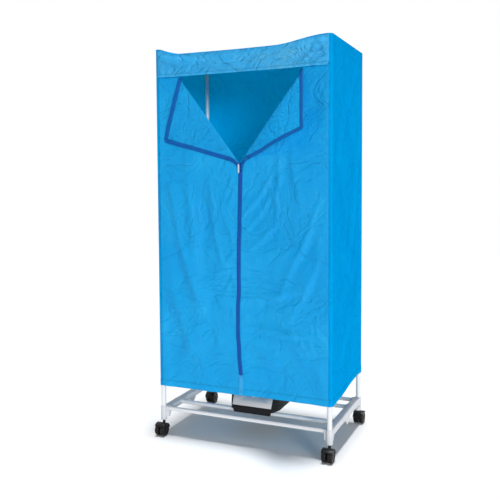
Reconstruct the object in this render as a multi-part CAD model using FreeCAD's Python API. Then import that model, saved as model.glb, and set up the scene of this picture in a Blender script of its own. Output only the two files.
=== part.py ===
import FreeCAD, Part
import math
import os
from FreeCAD import Vector

# Portable drying cabinet: a tube frame on four twin-wheel castors, a lift-off fan heater on the two
# middle base rails, and a zipped cloth cover whose two front corners are folded out.
# Millimetres. X to the right, Y to the back, Z up. Origin on the floor, midway between the four posts.

# Clearances
PUSH_FIT = 0.15          # radial, tube in a moulded socket
RUNNING_FIT = 0.06       # radial, shaft in a bore that turns
SOFT_GAP = 0.3           # cloth to whatever it hangs against
SIDE_PLAY = 0.4          # axial, between turning pieces

# Posts and rails
POST_SPACING_X = 680.0
POST_SPACING_Y = 400.0
POST_DIAMETER = 19.0
RAIL_DIAMETER = 16.0
TUBE_WALL = 1.2
RAIL_HEIGHT = 102.0      # axis of the base rails
OUTER_RAIL_Y = 188.0     # front and rear base rails
RAIL_INSERT = 10.0       # depth of a rail end in its socket
POST_JOINT_Z = 790.0     # where the upper posts stand on the lower ones
POST_SPIGOT = 60.0       # spigot on the lower post, inside the upper one
POST_PLUG = 30.0         # its root inside the head of the lower post

# Base end frames
LEG_FOOT_Z = 60.0        # leg underside, the castors fill what is below
LEG_DIAMETER = 24.0
SHOULDER_DROP = 2.0      # mouth of the post socket below the top of the beam
SOCKET_DEPTH = 22.0
SOCKET_FLOOR = 5.0       # between the post socket and the bore for the castor's stem
BEAM_OUTSET = 11.0       # outer face of the beam beyond the post axis
BEAM_WIDTH = 33.0
BEAM_DEPTH = 23.0        # height of the beam between its legs
BEAM_CROWN = 9.0         # radius along the beam's two top edges
BEAM_WALL = 3.0
BEAM_END_RADIUS = 12.0
TOOTH_HALF_BASE = 28.0
TOOTH_DEPTH = 21.0
TOOTH_TIP_HALF = 3.0
LEG_FILLET = 18.0        # curve between beam and leg
RIB_COUNT = 3
RIB_THICKNESS = 2.0
BOSS_WALL = 3.0

# Top end bars and hanging rails
COVER_HEIGHT = 1500.0
TOP_BAR_WIDTH = 24.0
TOP_BAR_HEIGHT = 34.0
TOP_BAR_WALL = 2.5
SPIGOT_LENGTH = 30.0
HANGING_RAIL_Y = 105.0
HANGING_RAIL_DROP = 21.0  # rail axis below the top of the bar

# Twin-wheel castors
WHEEL_RADIUS = 24.0
WHEEL_WIDTH = 17.0
WEB_THICKNESS = 6.4
WEB_RADIUS = 12.0        # round the axle
CASTOR_TRAIL = 18.0
HOOD_WALL = 1.8
HOOD_GAP = 1.2           # hood to tread
STEM_RADIUS = 5.5
AXLE_RADIUS = 2.5
WHEEL_BEVEL = 2.0
HUB_END_WALL = 5.0
HOOD_FRONT_ANGLE = 8.0   # lower lip of the hood on the stem side, above the axle level
HOOD_BACK_ANGLE = 140.0  # upper end of the hood on the far side
HOOD_WEDGE_STEPS = 3

# Heater
HEATER_HALF_WIDTH = 100.0
HEATER_NOSE_HALF_WIDTH = 86.0
HEATER_HALF_DEPTH = 113.0
HEATER_SHOULDER = 40.0   # length over which the nose widens to the full width
HEATER_TRAY_HEIGHT = 13.7  # base, from its foot to the split
HEATER_SHELL_HEIGHT = 102.0  # shell, from the split to the top
HEATER_WALL = 2.5
HEATER_RAIL_SETBACK = 18.0  # axes of the two rails under the heater, in from its front and back
HEATER_CORNER = 10.0
HEATER_BROW = 0.7        # share of the edge over the sloping front where it turns
PANEL_RISE = 78.0        # height of the sloping front
PANEL_LEAN = 38.0        # how far the front leans back over that height
PANEL_THICKNESS = 2.0
PANEL_FOOT_HALF = 81.0
PANEL_HEAD_HALF = 84.0
CHIN_DROP = 27.0         # front lip of the base below the split
CHIN_PROUD = 2.0
CHIN_FOOT_HALF = 75.0
CHIN_HEAD_HALF = 81.0
SADDLE_RIB_DROP = 9.0
SADDLE_RIB_THICKNESS = 3.0
SADDLE_RIB_X = 60.0
INTAKE_SLOTS = 6
INTAKE_SLOT_WIDTH = 6.0
INTAKE_SLOT_LENGTH = 60.0
INTAKE_SLOT_PITCH = 14.0
HEATER_BOSS_RADIUS = 4.5
HEATER_BOSS_INSET_X = 20.0
HEATER_BOSS_INSET_Y = 45.0
DUCT_INSIDE = 108.0
DUCT_WALL = 2.0
DUCT_DEPTH = 76.0        # foot of the duct below the top of the heater
DUCT_CENTRE_Y = 12.0
GRILLE_REBATE = 4.0
GRILLE_THICKNESS = 2.5
GRILLE_SLOTS = 9
GRILLE_SLOT_WIDTH = 6.5
GRILLE_SLOT_PITCH = 11.0
ELEMENT_HEIGHT = 20.0
ELEMENT_LEDGE_DEPTH = 42.0  # ledge below the top of the heater
ELEMENT_LEDGE = 5.0
ELEMENT_FRAME = 6.0
ELEMENT_FIN_COUNT = 13
ELEMENT_FIN_THICKNESS = 1.0
ELEMENT_FIN_INSET = 2.0
ELEMENT_BAR_COUNT = 2
ELEMENT_BAR_WIDTH = 5.0
ELEMENT_BAR_INSET = 1.0
MOTOR_RADIUS = 19.0
MOTOR_HEIGHT = 24.0
MOTOR_PEDESTAL = 8.0
MOTOR_SHAFT_RADIUS = 2.0
MOTOR_SHAFT_LENGTH = 17.0
FAN_RADIUS = 50.0
FAN_HUB_RADIUS = 13.0
FAN_HUB_HEIGHT = 14.0
FAN_BLADES = 7
FAN_BLADE_THICKNESS = 1.6
FAN_BLADE_CHORD = 24.0   # at the tip
FAN_BLADE_ROOT_CHORD = 17.0
FAN_BLADE_ROOT_RADIUS = 9.0
FAN_BLADE_PITCH = 28.0   # degrees from level
KNOB_ALONG = 56.0        # knob centre, measured up the sloping front
KNOB_RADIUS = 19.0
KNOB_SKIRT = 3.5
KNOB_GRIP_HEIGHT = 9.0
KNOB_GRIP_WIDTH = 9.0
KNOB_GRIP_INSET = 2.5
KNOB_SPINDLE_RADIUS = 3.0
KNOB_SPINDLE_LENGTH = 12.0
KNOB_HOLE_MARGIN = 1.0   # hole in the shell behind the panel, beyond the spindle
LENS_RADIUS = 3.5
LENS_X = 44.0
LENS_DOME = 1.6
INLET_WIDTH = 27.0
INLET_HEIGHT = 19.0
INLET_DEPTH = 16.0
INLET_FLANGE = 3.0
INLET_FLANGE_THICKNESS = 2.0
INLET_RISE = 26.0        # middle of the inlet above the split
INLET_INSET = 45.0       # inlet in from the left end of the heater
INLET_PIN_WIDTH = 1.8
INLET_PIN_PITCH = 7.0

# Cloth cover
CLOTH = 2.0              # thickness of the cloth solids
HEM_Z = 198.0
VALANCE_HEIGHT = 107.0
VALANCE_CORNER = 16.0
WINDOW_HALF_WIDTH = 252.0
WINDOW_BOTTOM_Z = 1060.0
ZIP_BOTTOM_Z = 277.0
ZIP_WIDTH = 6.0
ZIP_TEETH_PROUD = 1.0
FLAP_EDGE = 0.3          # flap to its fold line and to its neighbours
FLAP_TIP = 15.0          # height of flap left off at its lowest point
FLAP_RIGHT_LIFT = 34.0   # degrees that the right flap stands off the front
SLIDER_WIDTH = 11.0
SLIDER_HEIGHT = 22.0
SLIDER_FOOT_HALF = 4.0
SLIDER_HEAD_HALF = 3.5
SLIDER_WIDE_LOW = 13.0   # the slider is widest between these two heights
SLIDER_WIDE_HIGH = 18.5
SLIDER_DEPTH = 4.0
SLIDER_LUG_DEPTH = 4.0
SLIDER_LUG_THICKNESS = 1.5
SLIDER_PIN_RADIUS = 1.0
PULL_WIDTH = 6.0
PULL_LENGTH = 30.0
PULL_THICKNESS = 2.0
PULL_CORNER = 2.4
PULL_EYE_WALL = 0.7

# Places that follow from the sizes above
POST_X = POST_SPACING_X / 2
POST_Y = POST_SPACING_Y / 2
POST_RADIUS = POST_DIAMETER / 2
RAIL_RADIUS = RAIL_DIAMETER / 2
BEAM_TOP_Z = RAIL_HEIGHT + RAIL_RADIUS + BOSS_WALL
BEAM_OUTER_X = POST_X + BEAM_OUTSET
BEAM_INNER_X = BEAM_OUTER_X - BEAM_WIDTH
BEAM_BOTTOM_Z = BEAM_TOP_Z - BEAM_DEPTH
RAIL_END_X = BEAM_INNER_X + RAIL_INSERT
SHOULDER_Z = BEAM_TOP_Z - SHOULDER_DROP
SOCKET_FLOOR_Z = SHOULDER_Z - SOCKET_DEPTH
STEM_SOCKET_DEPTH = SOCKET_FLOOR_Z - SOCKET_FLOOR - LEG_FOOT_Z
TOP_BAR_TOP_Z = COVER_HEIGHT - CLOTH
TOP_BAR_FOOT_Z = TOP_BAR_TOP_Z - TOP_BAR_HEIGHT
TOP_BAR_OUTER_X = POST_X + POST_RADIUS
TOP_BAR_INNER_X = TOP_BAR_OUTER_X - TOP_BAR_WIDTH
HANGING_RAIL_Z = TOP_BAR_TOP_Z - HANGING_RAIL_DROP
SPIGOT_RADIUS = POST_RADIUS - TUBE_WALL - PUSH_FIT
HOOD_INNER_RADIUS = WHEEL_RADIUS + HOOD_GAP
HOOD_OUTER_RADIUS = HOOD_INNER_RADIUS + HOOD_WALL
WHEEL_INNER_X = WEB_THICKNESS / 2 + SIDE_PLAY
HOOD_HALF_WIDTH = WHEEL_INNER_X + WHEEL_WIDTH
RAIL_TOP_Z = RAIL_HEIGHT + RAIL_RADIUS
INNER_RAIL_Y = HEATER_HALF_DEPTH - HEATER_RAIL_SETBACK
HEATER_FOOT_Z = RAIL_TOP_Z + SOFT_GAP
HEATER_FLOOR_Z = HEATER_FOOT_Z + HEATER_WALL
HEATER_SPLIT_Z = HEATER_FOOT_Z + HEATER_TRAY_HEIGHT
HEATER_TOP_Z = HEATER_SPLIT_Z + HEATER_SHELL_HEIGHT
DUCT_FOOT_Z = HEATER_TOP_Z - DUCT_DEPTH
ELEMENT_LEDGE_Z = HEATER_TOP_Z - ELEMENT_LEDGE_DEPTH
INLET_Z = HEATER_SPLIT_Z + INLET_RISE
HEATER_BOSS_X = HEATER_HALF_WIDTH - HEATER_BOSS_INSET_X
HEATER_BOSS_Y = HEATER_HALF_DEPTH - HEATER_BOSS_INSET_Y
INLET_X = INLET_INSET - HEATER_HALF_WIDTH
COVER_INNER_X = POST_X + POST_RADIUS + SOFT_GAP
COVER_INNER_Y = POST_Y + POST_RADIUS + SOFT_GAP
COVER_OUTER_X = COVER_INNER_X + CLOTH
COVER_OUTER_Y = COVER_INNER_Y + CLOTH
COVER_INNER_RADIUS = POST_RADIUS + SOFT_GAP
COVER_OUTER_RADIUS = COVER_INNER_RADIUS + CLOTH
FRONT_Y = -COVER_OUTER_Y
COVER_CEILING_Z = COVER_HEIGHT - CLOTH
VALANCE_FOOT_Z = COVER_HEIGHT - VALANCE_HEIGHT
WINDOW_TOP_Z = VALANCE_FOOT_Z - FLAP_EDGE
FOLD_Y = FRONT_Y - SOFT_GAP / 2

X_AXIS = Vector(1, 0, 0)
Y_AXIS = Vector(0, 1, 0)
Z_AXIS = Vector(0, 0, 1)
ORIGIN = Vector(0, 0, 0)

# Names of the four corners, with the side of each along X and Y
CORNERS = {
    "front_left": (-1, -1),
    "front_right": (1, -1),
    "rear_left": (-1, 1),
    "rear_right": (1, 1),
}


# ---------------------------------------------------------------- shapes in general

def box(low, high):
    """A box between two opposite corners."""
    size = high - low
    return Part.makeBox(size.x, size.y, size.z, low)


def rod(radius, base, axis, length):
    """A solid cylinder that starts at base and runs along axis."""
    return Part.makeCylinder(radius, length, base, axis)


def tube(radius, base, axis, length):
    """A round tube of the frame's wall thickness."""
    bore = rod(radius - TUBE_WALL, base, axis, length)
    return rod(radius, base, axis, length).cut(bore)


def outline(points):
    """A closed face through points joined by straight lines."""
    return Part.Face(Part.makePolygon(points + points[:1]))


def rounded_face(x_low, x_high, y_low, y_high, radius, z):
    """A level rectangle with four round corners."""
    corners = (
        (x_high - radius, y_low + radius, -90),
        (x_high - radius, y_high - radius, 0),
        (x_low + radius, y_high - radius, 90),
        (x_low + radius, y_low + radius, 180),
    )
    arcs = []
    for x, y, start in corners:
        circle = Part.Circle(Vector(x, y, z), Z_AXIS, radius)
        arcs.append(circle.toShape(math.radians(start), math.radians(start + 90)))
    edges = []
    for arc, following in zip(arcs, arcs[1:] + arcs[:1]):
        edges.append(arc)
        edges.append(Part.makeLine(arc.lastVertex().Point, following.firstVertex().Point))
    return Part.Face(Part.Wire(edges))


def rounded_prism(x_low, x_high, y_low, y_high, radius, z_low, z_high):
    """An upright prism over a level rectangle with round corners."""
    face = rounded_face(x_low, x_high, y_low, y_high, radius, z_low)
    return face.extrude(Vector(0, 0, z_high - z_low))


def mirrored_x(shape):
    """The same piece on the other side of the cabinet."""
    return shape.mirror(ORIGIN, X_AXIS)


def fuse_all(shapes):
    """One solid from pieces that overlap."""
    whole = shapes[0]
    if len(shapes) > 1:
        whole = whole.multiFuse(shapes[1:])
    return whole.removeSplitter()


def save(name, shape):
    """Write one piece of the cabinet."""
    shape.exportStep("parts/" + name + ".step")


# ---------------------------------------------------------------- base end frames

def beam_side_profile():
    """Side outline of an end frame: level top, two low arches and a tooth between them."""
    x = BEAM_INNER_X
    end = POST_Y
    leg_face = POST_Y - LEG_DIAMETER / 2
    spring = leg_face - LEG_FILLET
    edges = [Part.makeLine(Vector(x, -end, BEAM_TOP_Z), Vector(x, end, BEAM_TOP_Z))]
    low = BEAM_BOTTOM_Z - LEG_FILLET
    diagonal = LEG_FILLET * (1 - math.sqrt(0.5))
    lower = []
    for side in (1, -1):
        foot = Vector(x, side * end, low)
        corner = Vector(x, side * leg_face, low)
        bend = Vector(x, side * (leg_face - diagonal), BEAM_BOTTOM_Z - diagonal)
        arch = Vector(x, side * spring, BEAM_BOTTOM_Z)
        crown = Vector(x, side * (spring + TOOTH_HALF_BASE) / 2, BEAM_BOTTOM_Z + BEAM_WALL / 2)
        root = Vector(x, side * TOOTH_HALF_BASE, BEAM_BOTTOM_Z)
        tip = Vector(x, side * TOOTH_TIP_HALF, BEAM_BOTTOM_Z - TOOTH_DEPTH)
        lower.append((foot, corner, bend, arch, crown, root, tip))
        edges.append(Part.makeLine(Vector(x, side * end, BEAM_TOP_Z), foot))
        edges.append(Part.makeLine(foot, corner))
        edges.append(Part.Arc(corner, bend, arch).toShape())
        edges.append(Part.Arc(arch, crown, root).toShape())
        edges.append(Part.makeLine(root, tip))
    edges.append(Part.makeLine(lower[0][-1], lower[1][-1]))
    return Part.Face(Part.Wire(Part.__sortEdges__(edges)))


def beam_section(inset):
    """Cross-section of the beam, its two top edges rounded off in two facets each."""
    low = LEG_FOOT_Z - TOOTH_DEPTH
    left = BEAM_INNER_X + inset
    right = BEAM_OUTER_X - inset
    top = BEAM_TOP_Z - inset
    crown = BEAM_CROWN - inset
    diagonal = crown * (1 - math.sqrt(0.5))
    y = -POST_Y
    return outline([
        Vector(left, y, low),
        Vector(left, y, top - crown),
        Vector(left + diagonal, y, top - diagonal),
        Vector(left + crown, y, top),
        Vector(right - crown, y, top),
        Vector(right - diagonal, y, top - diagonal),
        Vector(right, y, top - crown),
        Vector(right, y, low),
    ])


def base_rail_places():
    """The four base rails from front to back, as (name, y)."""
    return (
        ("front_rail", -OUTER_RAIL_Y),
        ("heater_rail_front", -INNER_RAIL_Y),
        ("heater_rail_rear", INNER_RAIL_Y),
        ("rear_rail", OUTER_RAIL_Y),
    )


def end_frame():
    """Right-hand base end frame: a hollow moulded beam between two legs."""
    side = beam_side_profile().extrude(Vector(BEAM_WIDTH, 0, 0))
    section = beam_section(0).extrude(Vector(0, 2 * POST_Y, 0))
    reach = POST_Y + LEG_DIAMETER / 4
    plan = rounded_prism(
        BEAM_INNER_X, BEAM_OUTER_X, -reach, reach, BEAM_END_RADIUS, LEG_FOOT_Z - TOOTH_DEPTH, BEAM_TOP_Z
    )
    beam = side.common(section).common(plan)
    hollow_half = POST_Y - LEG_DIAMETER / 2 - BEAM_WALL
    hollow = beam_section(BEAM_WALL).extrude(Vector(0, 2 * POST_Y, 0))
    limits = box(
        Vector(BEAM_INNER_X, -hollow_half, LEG_FOOT_Z), Vector(BEAM_OUTER_X, hollow_half, BEAM_TOP_Z)
    )
    shell = beam.cut(hollow.common(limits))
    parts = [shell]
    for index in range(RIB_COUNT):
        y = -hollow_half + (index + 1) * 2 * hollow_half / (RIB_COUNT + 1)
        low = Vector(BEAM_INNER_X + BEAM_WALL / 2, y - RIB_THICKNESS / 2, BEAM_BOTTOM_Z + BEAM_WALL)
        high = Vector(BEAM_OUTER_X - BEAM_WALL / 2, y + RIB_THICKNESS / 2, BEAM_TOP_Z - BEAM_WALL / 2)
        parts.append(box(low, high))
    for _, y in base_rail_places():
        base = Vector(BEAM_INNER_X, y, RAIL_HEIGHT)
        parts.append(rod(RAIL_RADIUS + BOSS_WALL, base, X_AXIS, RAIL_INSERT + BOSS_WALL))
    for side_y in (-1, 1):
        foot = Vector(POST_X, side_y * POST_Y, LEG_FOOT_Z)
        parts.append(rod(LEG_DIAMETER / 2, foot, Z_AXIS, SHOULDER_Z - LEG_FOOT_Z))
    frame = fuse_all(parts)
    cutters = []
    for _, y in base_rail_places():
        base = Vector(BEAM_INNER_X - RAIL_INSERT, y, RAIL_HEIGHT)
        cutters.append(rod(RAIL_RADIUS + PUSH_FIT, base, X_AXIS, 2 * RAIL_INSERT))
    for side_y in (-1, 1):
        socket = Vector(POST_X, side_y * POST_Y, SOCKET_FLOOR_Z)
        cutters.append(rod(POST_RADIUS + PUSH_FIT, socket, Z_AXIS, 2 * SOCKET_DEPTH))
        foot = Vector(POST_X, side_y * POST_Y, LEG_FOOT_Z)
        cutters.append(rod(STEM_RADIUS + RUNNING_FIT, foot, Z_AXIS, STEM_SOCKET_DEPTH))
    for cutter in cutters:
        frame = frame.cut(cutter)
    return frame


def base_rail(y):
    """A base rail between the two end frames."""
    return tube(RAIL_RADIUS, Vector(-RAIL_END_X, y, RAIL_HEIGHT), X_AXIS, 2 * RAIL_END_X)


# ---------------------------------------------------------------- posts and top of the frame

def lower_post(side_x, side_y):
    """Lower length of a corner post, with a spigot in its head for the upper length."""
    base = Vector(side_x * POST_X, side_y * POST_Y, SOCKET_FLOOR_Z)
    joint = Vector(base.x, base.y, POST_JOINT_Z)
    shaft = tube(POST_RADIUS, base, Z_AXIS, POST_JOINT_Z - SOCKET_FLOOR_Z)
    plug = rod(POST_RADIUS - TUBE_WALL / 2, joint - Vector(0, 0, POST_PLUG), Z_AXIS, POST_PLUG)
    return fuse_all([shaft, plug, rod(SPIGOT_RADIUS, joint, Z_AXIS, POST_SPIGOT)])


def upper_post(side_x, side_y):
    """Upper length of a corner post, from the joint to the top end bar."""
    base = Vector(side_x * POST_X, side_y * POST_Y, POST_JOINT_Z)
    return tube(POST_RADIUS, base, Z_AXIS, TOP_BAR_FOOT_Z - POST_JOINT_Z)


def top_end_bar():
    """Right-hand top bar: a ribbed moulding with a spigot into each post and two rail sockets."""
    reach = POST_Y + POST_RADIUS
    body = rounded_prism(
        TOP_BAR_INNER_X, TOP_BAR_OUTER_X, -reach, reach, POST_RADIUS, TOP_BAR_FOOT_Z, TOP_BAR_TOP_Z
    )
    pocket_half = POST_Y - POST_RADIUS - TOP_BAR_WALL
    pocket = box(
        Vector(TOP_BAR_INNER_X + TOP_BAR_WALL, -pocket_half, TOP_BAR_FOOT_Z),
        Vector(TOP_BAR_OUTER_X - TOP_BAR_WALL, pocket_half, TOP_BAR_TOP_Z - TOP_BAR_WALL),
    )
    parts = [body.cut(pocket)]
    for index in range(RIB_COUNT):
        y = -pocket_half + (index + 1) * 2 * pocket_half / (RIB_COUNT + 1)
        low = Vector(TOP_BAR_INNER_X + TOP_BAR_WALL / 2, y - RIB_THICKNESS / 2, TOP_BAR_FOOT_Z)
        high = Vector(
            TOP_BAR_OUTER_X - TOP_BAR_WALL / 2, y + RIB_THICKNESS / 2, TOP_BAR_TOP_Z - TOP_BAR_WALL / 2
        )
        parts.append(box(low, high))
    for side_y in (-1, 1):
        boss = Vector(TOP_BAR_INNER_X, side_y * HANGING_RAIL_Y, HANGING_RAIL_Z)
        parts.append(rod(RAIL_RADIUS + BOSS_WALL, boss, X_AXIS, RAIL_INSERT + BOSS_WALL))
        spigot = Vector(POST_X, side_y * POST_Y, TOP_BAR_FOOT_Z - SPIGOT_LENGTH)
        parts.append(rod(SPIGOT_RADIUS, spigot, Z_AXIS, SPIGOT_LENGTH + TOP_BAR_WALL))
    bar = fuse_all(parts)
    for side_y in (-1, 1):
        base = Vector(TOP_BAR_INNER_X - RAIL_INSERT, side_y * HANGING_RAIL_Y, HANGING_RAIL_Z)
        bar = bar.cut(rod(RAIL_RADIUS + PUSH_FIT, base, X_AXIS, 2 * RAIL_INSERT))
    return bar


def hanging_rail(y):
    """A rail for clothes hangers between the two top end bars."""
    end = TOP_BAR_INNER_X + RAIL_INSERT
    return tube(RAIL_RADIUS, Vector(-end, y, HANGING_RAIL_Z), X_AXIS, 2 * end)


# ---------------------------------------------------------------- castors

def axle_point(side_x, side_y):
    """Middle of a castor's axle, which trails outwards behind its stem."""
    return Vector(side_x * POST_X, side_y * (POST_Y + CASTOR_TRAIL), WHEEL_RADIUS)


def castor_hood(side_x, side_y):
    """Hood over both wheels, in one piece with its web, its axle and its stem."""
    axle = axle_point(side_x, side_y)
    start = axle - Vector(HOOD_HALF_WIDTH, 0, 0)
    skin = rod(HOOD_OUTER_RADIUS, start, X_AXIS, 2 * HOOD_HALF_WIDTH)
    # the hood covers the wheels from just above the axle on the stem side, over the top
    far = 2 * HOOD_OUTER_RADIUS
    wedge = [start]
    for step in range(HOOD_WEDGE_STEPS + 1):
        share = step / HOOD_WEDGE_STEPS
        turn = math.radians(HOOD_FRONT_ANGLE + (HOOD_BACK_ANGLE - HOOD_FRONT_ANGLE) * share)
        wedge.append(start + Vector(0, -side_y * far * math.cos(turn), far * math.sin(turn)))
    cover = skin.common(outline(wedge).extrude(Vector(2 * HOOD_HALF_WIDTH, 0, 0)))
    web_start = axle - Vector(WEB_THICKNESS / 2, 0, 0)
    web = rod(WEB_RADIUS, web_start, X_AXIS, WEB_THICKNESS)
    stem_foot = Vector(side_x * POST_X, side_y * POST_Y, WHEEL_RADIUS + HOOD_WALL)
    stem_top_z = LEG_FOOT_Z + STEM_SOCKET_DEPTH - SIDE_PLAY
    stem = rod(STEM_RADIUS, stem_foot, Z_AXIS, stem_top_z - stem_foot.z)
    body = fuse_all([cover, web, stem])
    for side in (-1, 1):
        face = axle + Vector(side * WEB_THICKNESS / 2, 0, 0)
        body = body.cut(rod(HOOD_INNER_RADIUS, face, X_AXIS * side, HOOD_HALF_WIDTH))
    half = HOOD_HALF_WIDTH - HUB_END_WALL - SIDE_PLAY
    spindle = rod(AXLE_RADIUS, axle - Vector(half, 0, 0), X_AXIS, 2 * half)
    return fuse_all([body, spindle])


def castor_wheel(side_x, side_y, side):
    """One wheel of a twin-wheel castor, turned as a profile about its axle."""
    bore = AXLE_RADIUS + RUNNING_FIT
    inner = WHEEL_INNER_X
    outer = inner + WHEEL_WIDTH
    bore_end = outer - HUB_END_WALL
    rim = WHEEL_RADIUS

    def at(x, radius):
        """A point of the profile: distance along the axle, distance from it."""
        return Vector(x, 0, radius)

    profile = [
        at(bore_end, 0),
        at(bore_end, bore),
        at(inner, bore),
        at(inner, rim),
        at(outer - WHEEL_BEVEL, rim),
        at(outer, rim - WHEEL_BEVEL),
        at(outer, 0),
    ]
    wheel = outline(profile).revolve(ORIGIN, X_AXIS, 360)
    if side < 0:
        wheel = mirrored_x(wheel)
    wheel.translate(axle_point(side_x, side_y))
    return wheel


# ---------------------------------------------------------------- heater

def heater_plan(inset, z_low, z_high):
    """Upright prism over the heater's plan: a rectangle that narrows towards its front."""
    half = HEATER_HALF_WIDTH - inset
    nose = HEATER_NOSE_HALF_WIDTH - inset
    front = -HEATER_HALF_DEPTH + inset
    back = HEATER_HALF_DEPTH - inset
    shoulder = -HEATER_HALF_DEPTH + HEATER_SHOULDER
    corner = HEATER_CORNER - inset
    points = [
        Vector(-nose, front, z_low),
        Vector(nose, front, z_low),
        Vector(half, shoulder, z_low),
        Vector(half, back - corner, z_low),
        Vector(half - corner, back, z_low),
        Vector(-half + corner, back, z_low),
        Vector(-half, back - corner, z_low),
        Vector(-half, shoulder, z_low),
    ]
    prism = outline(points).extrude(Vector(0, 0, z_high - z_low))
    uprights = []
    for edge in prism.Edges:
        middle = edge.CenterOfMass
        upright = edge.BoundBox.ZLength > (z_high - z_low) / 2
        if upright and middle.y < shoulder + inset:
            uprights.append(edge)
    return prism.makeFillet(corner, uprights)


def slope_point(along):
    """A point on the heater's sloping front, measured up the slope from the split line."""
    length = math.hypot(PANEL_RISE, PANEL_LEAN)
    y = -HEATER_HALF_DEPTH + PANEL_LEAN * along / length
    return Vector(0, y, HEATER_SPLIT_Z + PANEL_RISE * along / length)


def slope_length():
    """Length of the sloping front from its foot to its head."""
    return math.hypot(PANEL_RISE, PANEL_LEAN)


def slope_normal():
    """Outward direction of the sloping front."""
    return Vector(0, -PANEL_RISE, PANEL_LEAN) * (1 / slope_length())


def slope_up():
    """Direction up the sloping front."""
    return Vector(0, PANEL_LEAN, PANEL_RISE) * (1 / slope_length())


def heater_side(inset):
    """Side outline of the heater: upright back, level top and sloping front."""
    foot = HEATER_SPLIT_Z - inset
    shift = inset * slope_length() / PANEL_RISE
    run = PANEL_LEAN / PANEL_RISE
    front = -HEATER_HALF_DEPTH + shift
    head_z = HEATER_SPLIT_Z + PANEL_RISE
    head_y = front + run * (head_z - HEATER_SPLIT_Z)
    back = HEATER_HALF_DEPTH - inset
    top = HEATER_TOP_Z - inset
    rounding = top - head_z
    points = [
        Vector(-HEATER_HALF_WIDTH, front - run * (HEATER_SPLIT_Z - foot), foot),
        Vector(-HEATER_HALF_WIDTH, head_y, head_z),
        Vector(-HEATER_HALF_WIDTH, head_y + run * rounding / 2, head_z + rounding * HEATER_BROW),
        Vector(-HEATER_HALF_WIDTH, head_y + rounding, top),
        Vector(-HEATER_HALF_WIDTH, back - HEATER_CORNER / 2, top),
        Vector(-HEATER_HALF_WIDTH, back, top - HEATER_CORNER / 2),
        Vector(-HEATER_HALF_WIDTH, back, foot),
    ]
    return outline(points).extrude(Vector(2 * HEATER_HALF_WIDTH, 0, 0))


def heater_boss_places():
    """Centres of the four screw bosses in plan."""
    places = []
    for side_x in (-1, 1):
        for side_y in (-1, 1):
            places.append((side_x * HEATER_BOSS_X, side_y * HEATER_BOSS_Y))
    return places


def heater_base():
    """Black tray that rests on the two middle rails and hooks over the front one."""
    tray = heater_plan(0, HEATER_FOOT_Z, HEATER_SPLIT_Z)
    tray = tray.cut(heater_plan(HEATER_WALL, HEATER_FLOOR_Z, HEATER_TOP_Z))
    chin_y = -INNER_RAIL_Y - RAIL_RADIUS - SOFT_GAP
    chin_front = -HEATER_HALF_DEPTH - CHIN_PROUD
    chin_foot_z = HEATER_SPLIT_Z - CHIN_DROP
    chin = outline([
        Vector(-CHIN_FOOT_HALF, chin_front, chin_foot_z),
        Vector(CHIN_FOOT_HALF, chin_front, chin_foot_z),
        Vector(CHIN_HEAD_HALF, chin_front, HEATER_SPLIT_Z),
        Vector(-CHIN_HEAD_HALF, chin_front, HEATER_SPLIT_Z),
    ]).extrude(Vector(0, chin_y - chin_front, 0))
    foot_edges = [edge for edge in chin.Edges if edge.BoundBox.ZMax < chin_foot_z + CHIN_PROUD]
    chin = chin.makeFillet(CHIN_PROUD, foot_edges)
    chin = chin.cut(heater_plan(HEATER_WALL, HEATER_FLOOR_Z, HEATER_TOP_Z))
    parts = [tray, chin]
    rib_half = INNER_RAIL_Y - RAIL_RADIUS - SOFT_GAP
    for side_x in (-1, 1):
        x = side_x * SADDLE_RIB_X
        low = Vector(x - SADDLE_RIB_THICKNESS / 2, -rib_half, HEATER_FOOT_Z - SADDLE_RIB_DROP)
        high = Vector(x + SADDLE_RIB_THICKNESS / 2, rib_half, HEATER_FLOOR_Z)
        parts.append(box(low, high))
    pedestal = Vector(0, DUCT_CENTRE_Y, HEATER_FOOT_Z)
    parts.append(rod(MOTOR_RADIUS, pedestal, Z_AXIS, HEATER_WALL + MOTOR_PEDESTAL))
    base = fuse_all(parts)
    for side_y in (-1, 1):
        for index in range(INTAKE_SLOTS):
            x = (index - (INTAKE_SLOTS - 1) / 2) * INTAKE_SLOT_PITCH
            middle = DUCT_CENTRE_Y + side_y * (MOTOR_RADIUS + INTAKE_SLOT_WIDTH + INTAKE_SLOT_LENGTH / 2)
            low = Vector(x - INTAKE_SLOT_WIDTH / 2, middle - INTAKE_SLOT_LENGTH / 2, HEATER_FOOT_Z)
            high = Vector(x + INTAKE_SLOT_WIDTH / 2, middle + INTAKE_SLOT_LENGTH / 2, HEATER_FLOOR_Z)
            base = base.cut(box(low, high))
    return base


def duct(inside, z_low, z_high):
    """Upright square prism over the fan duct."""
    low = Vector(-inside / 2, DUCT_CENTRE_Y - inside / 2, z_low)
    return box(low, Vector(inside / 2, DUCT_CENTRE_Y + inside / 2, z_high))


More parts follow.
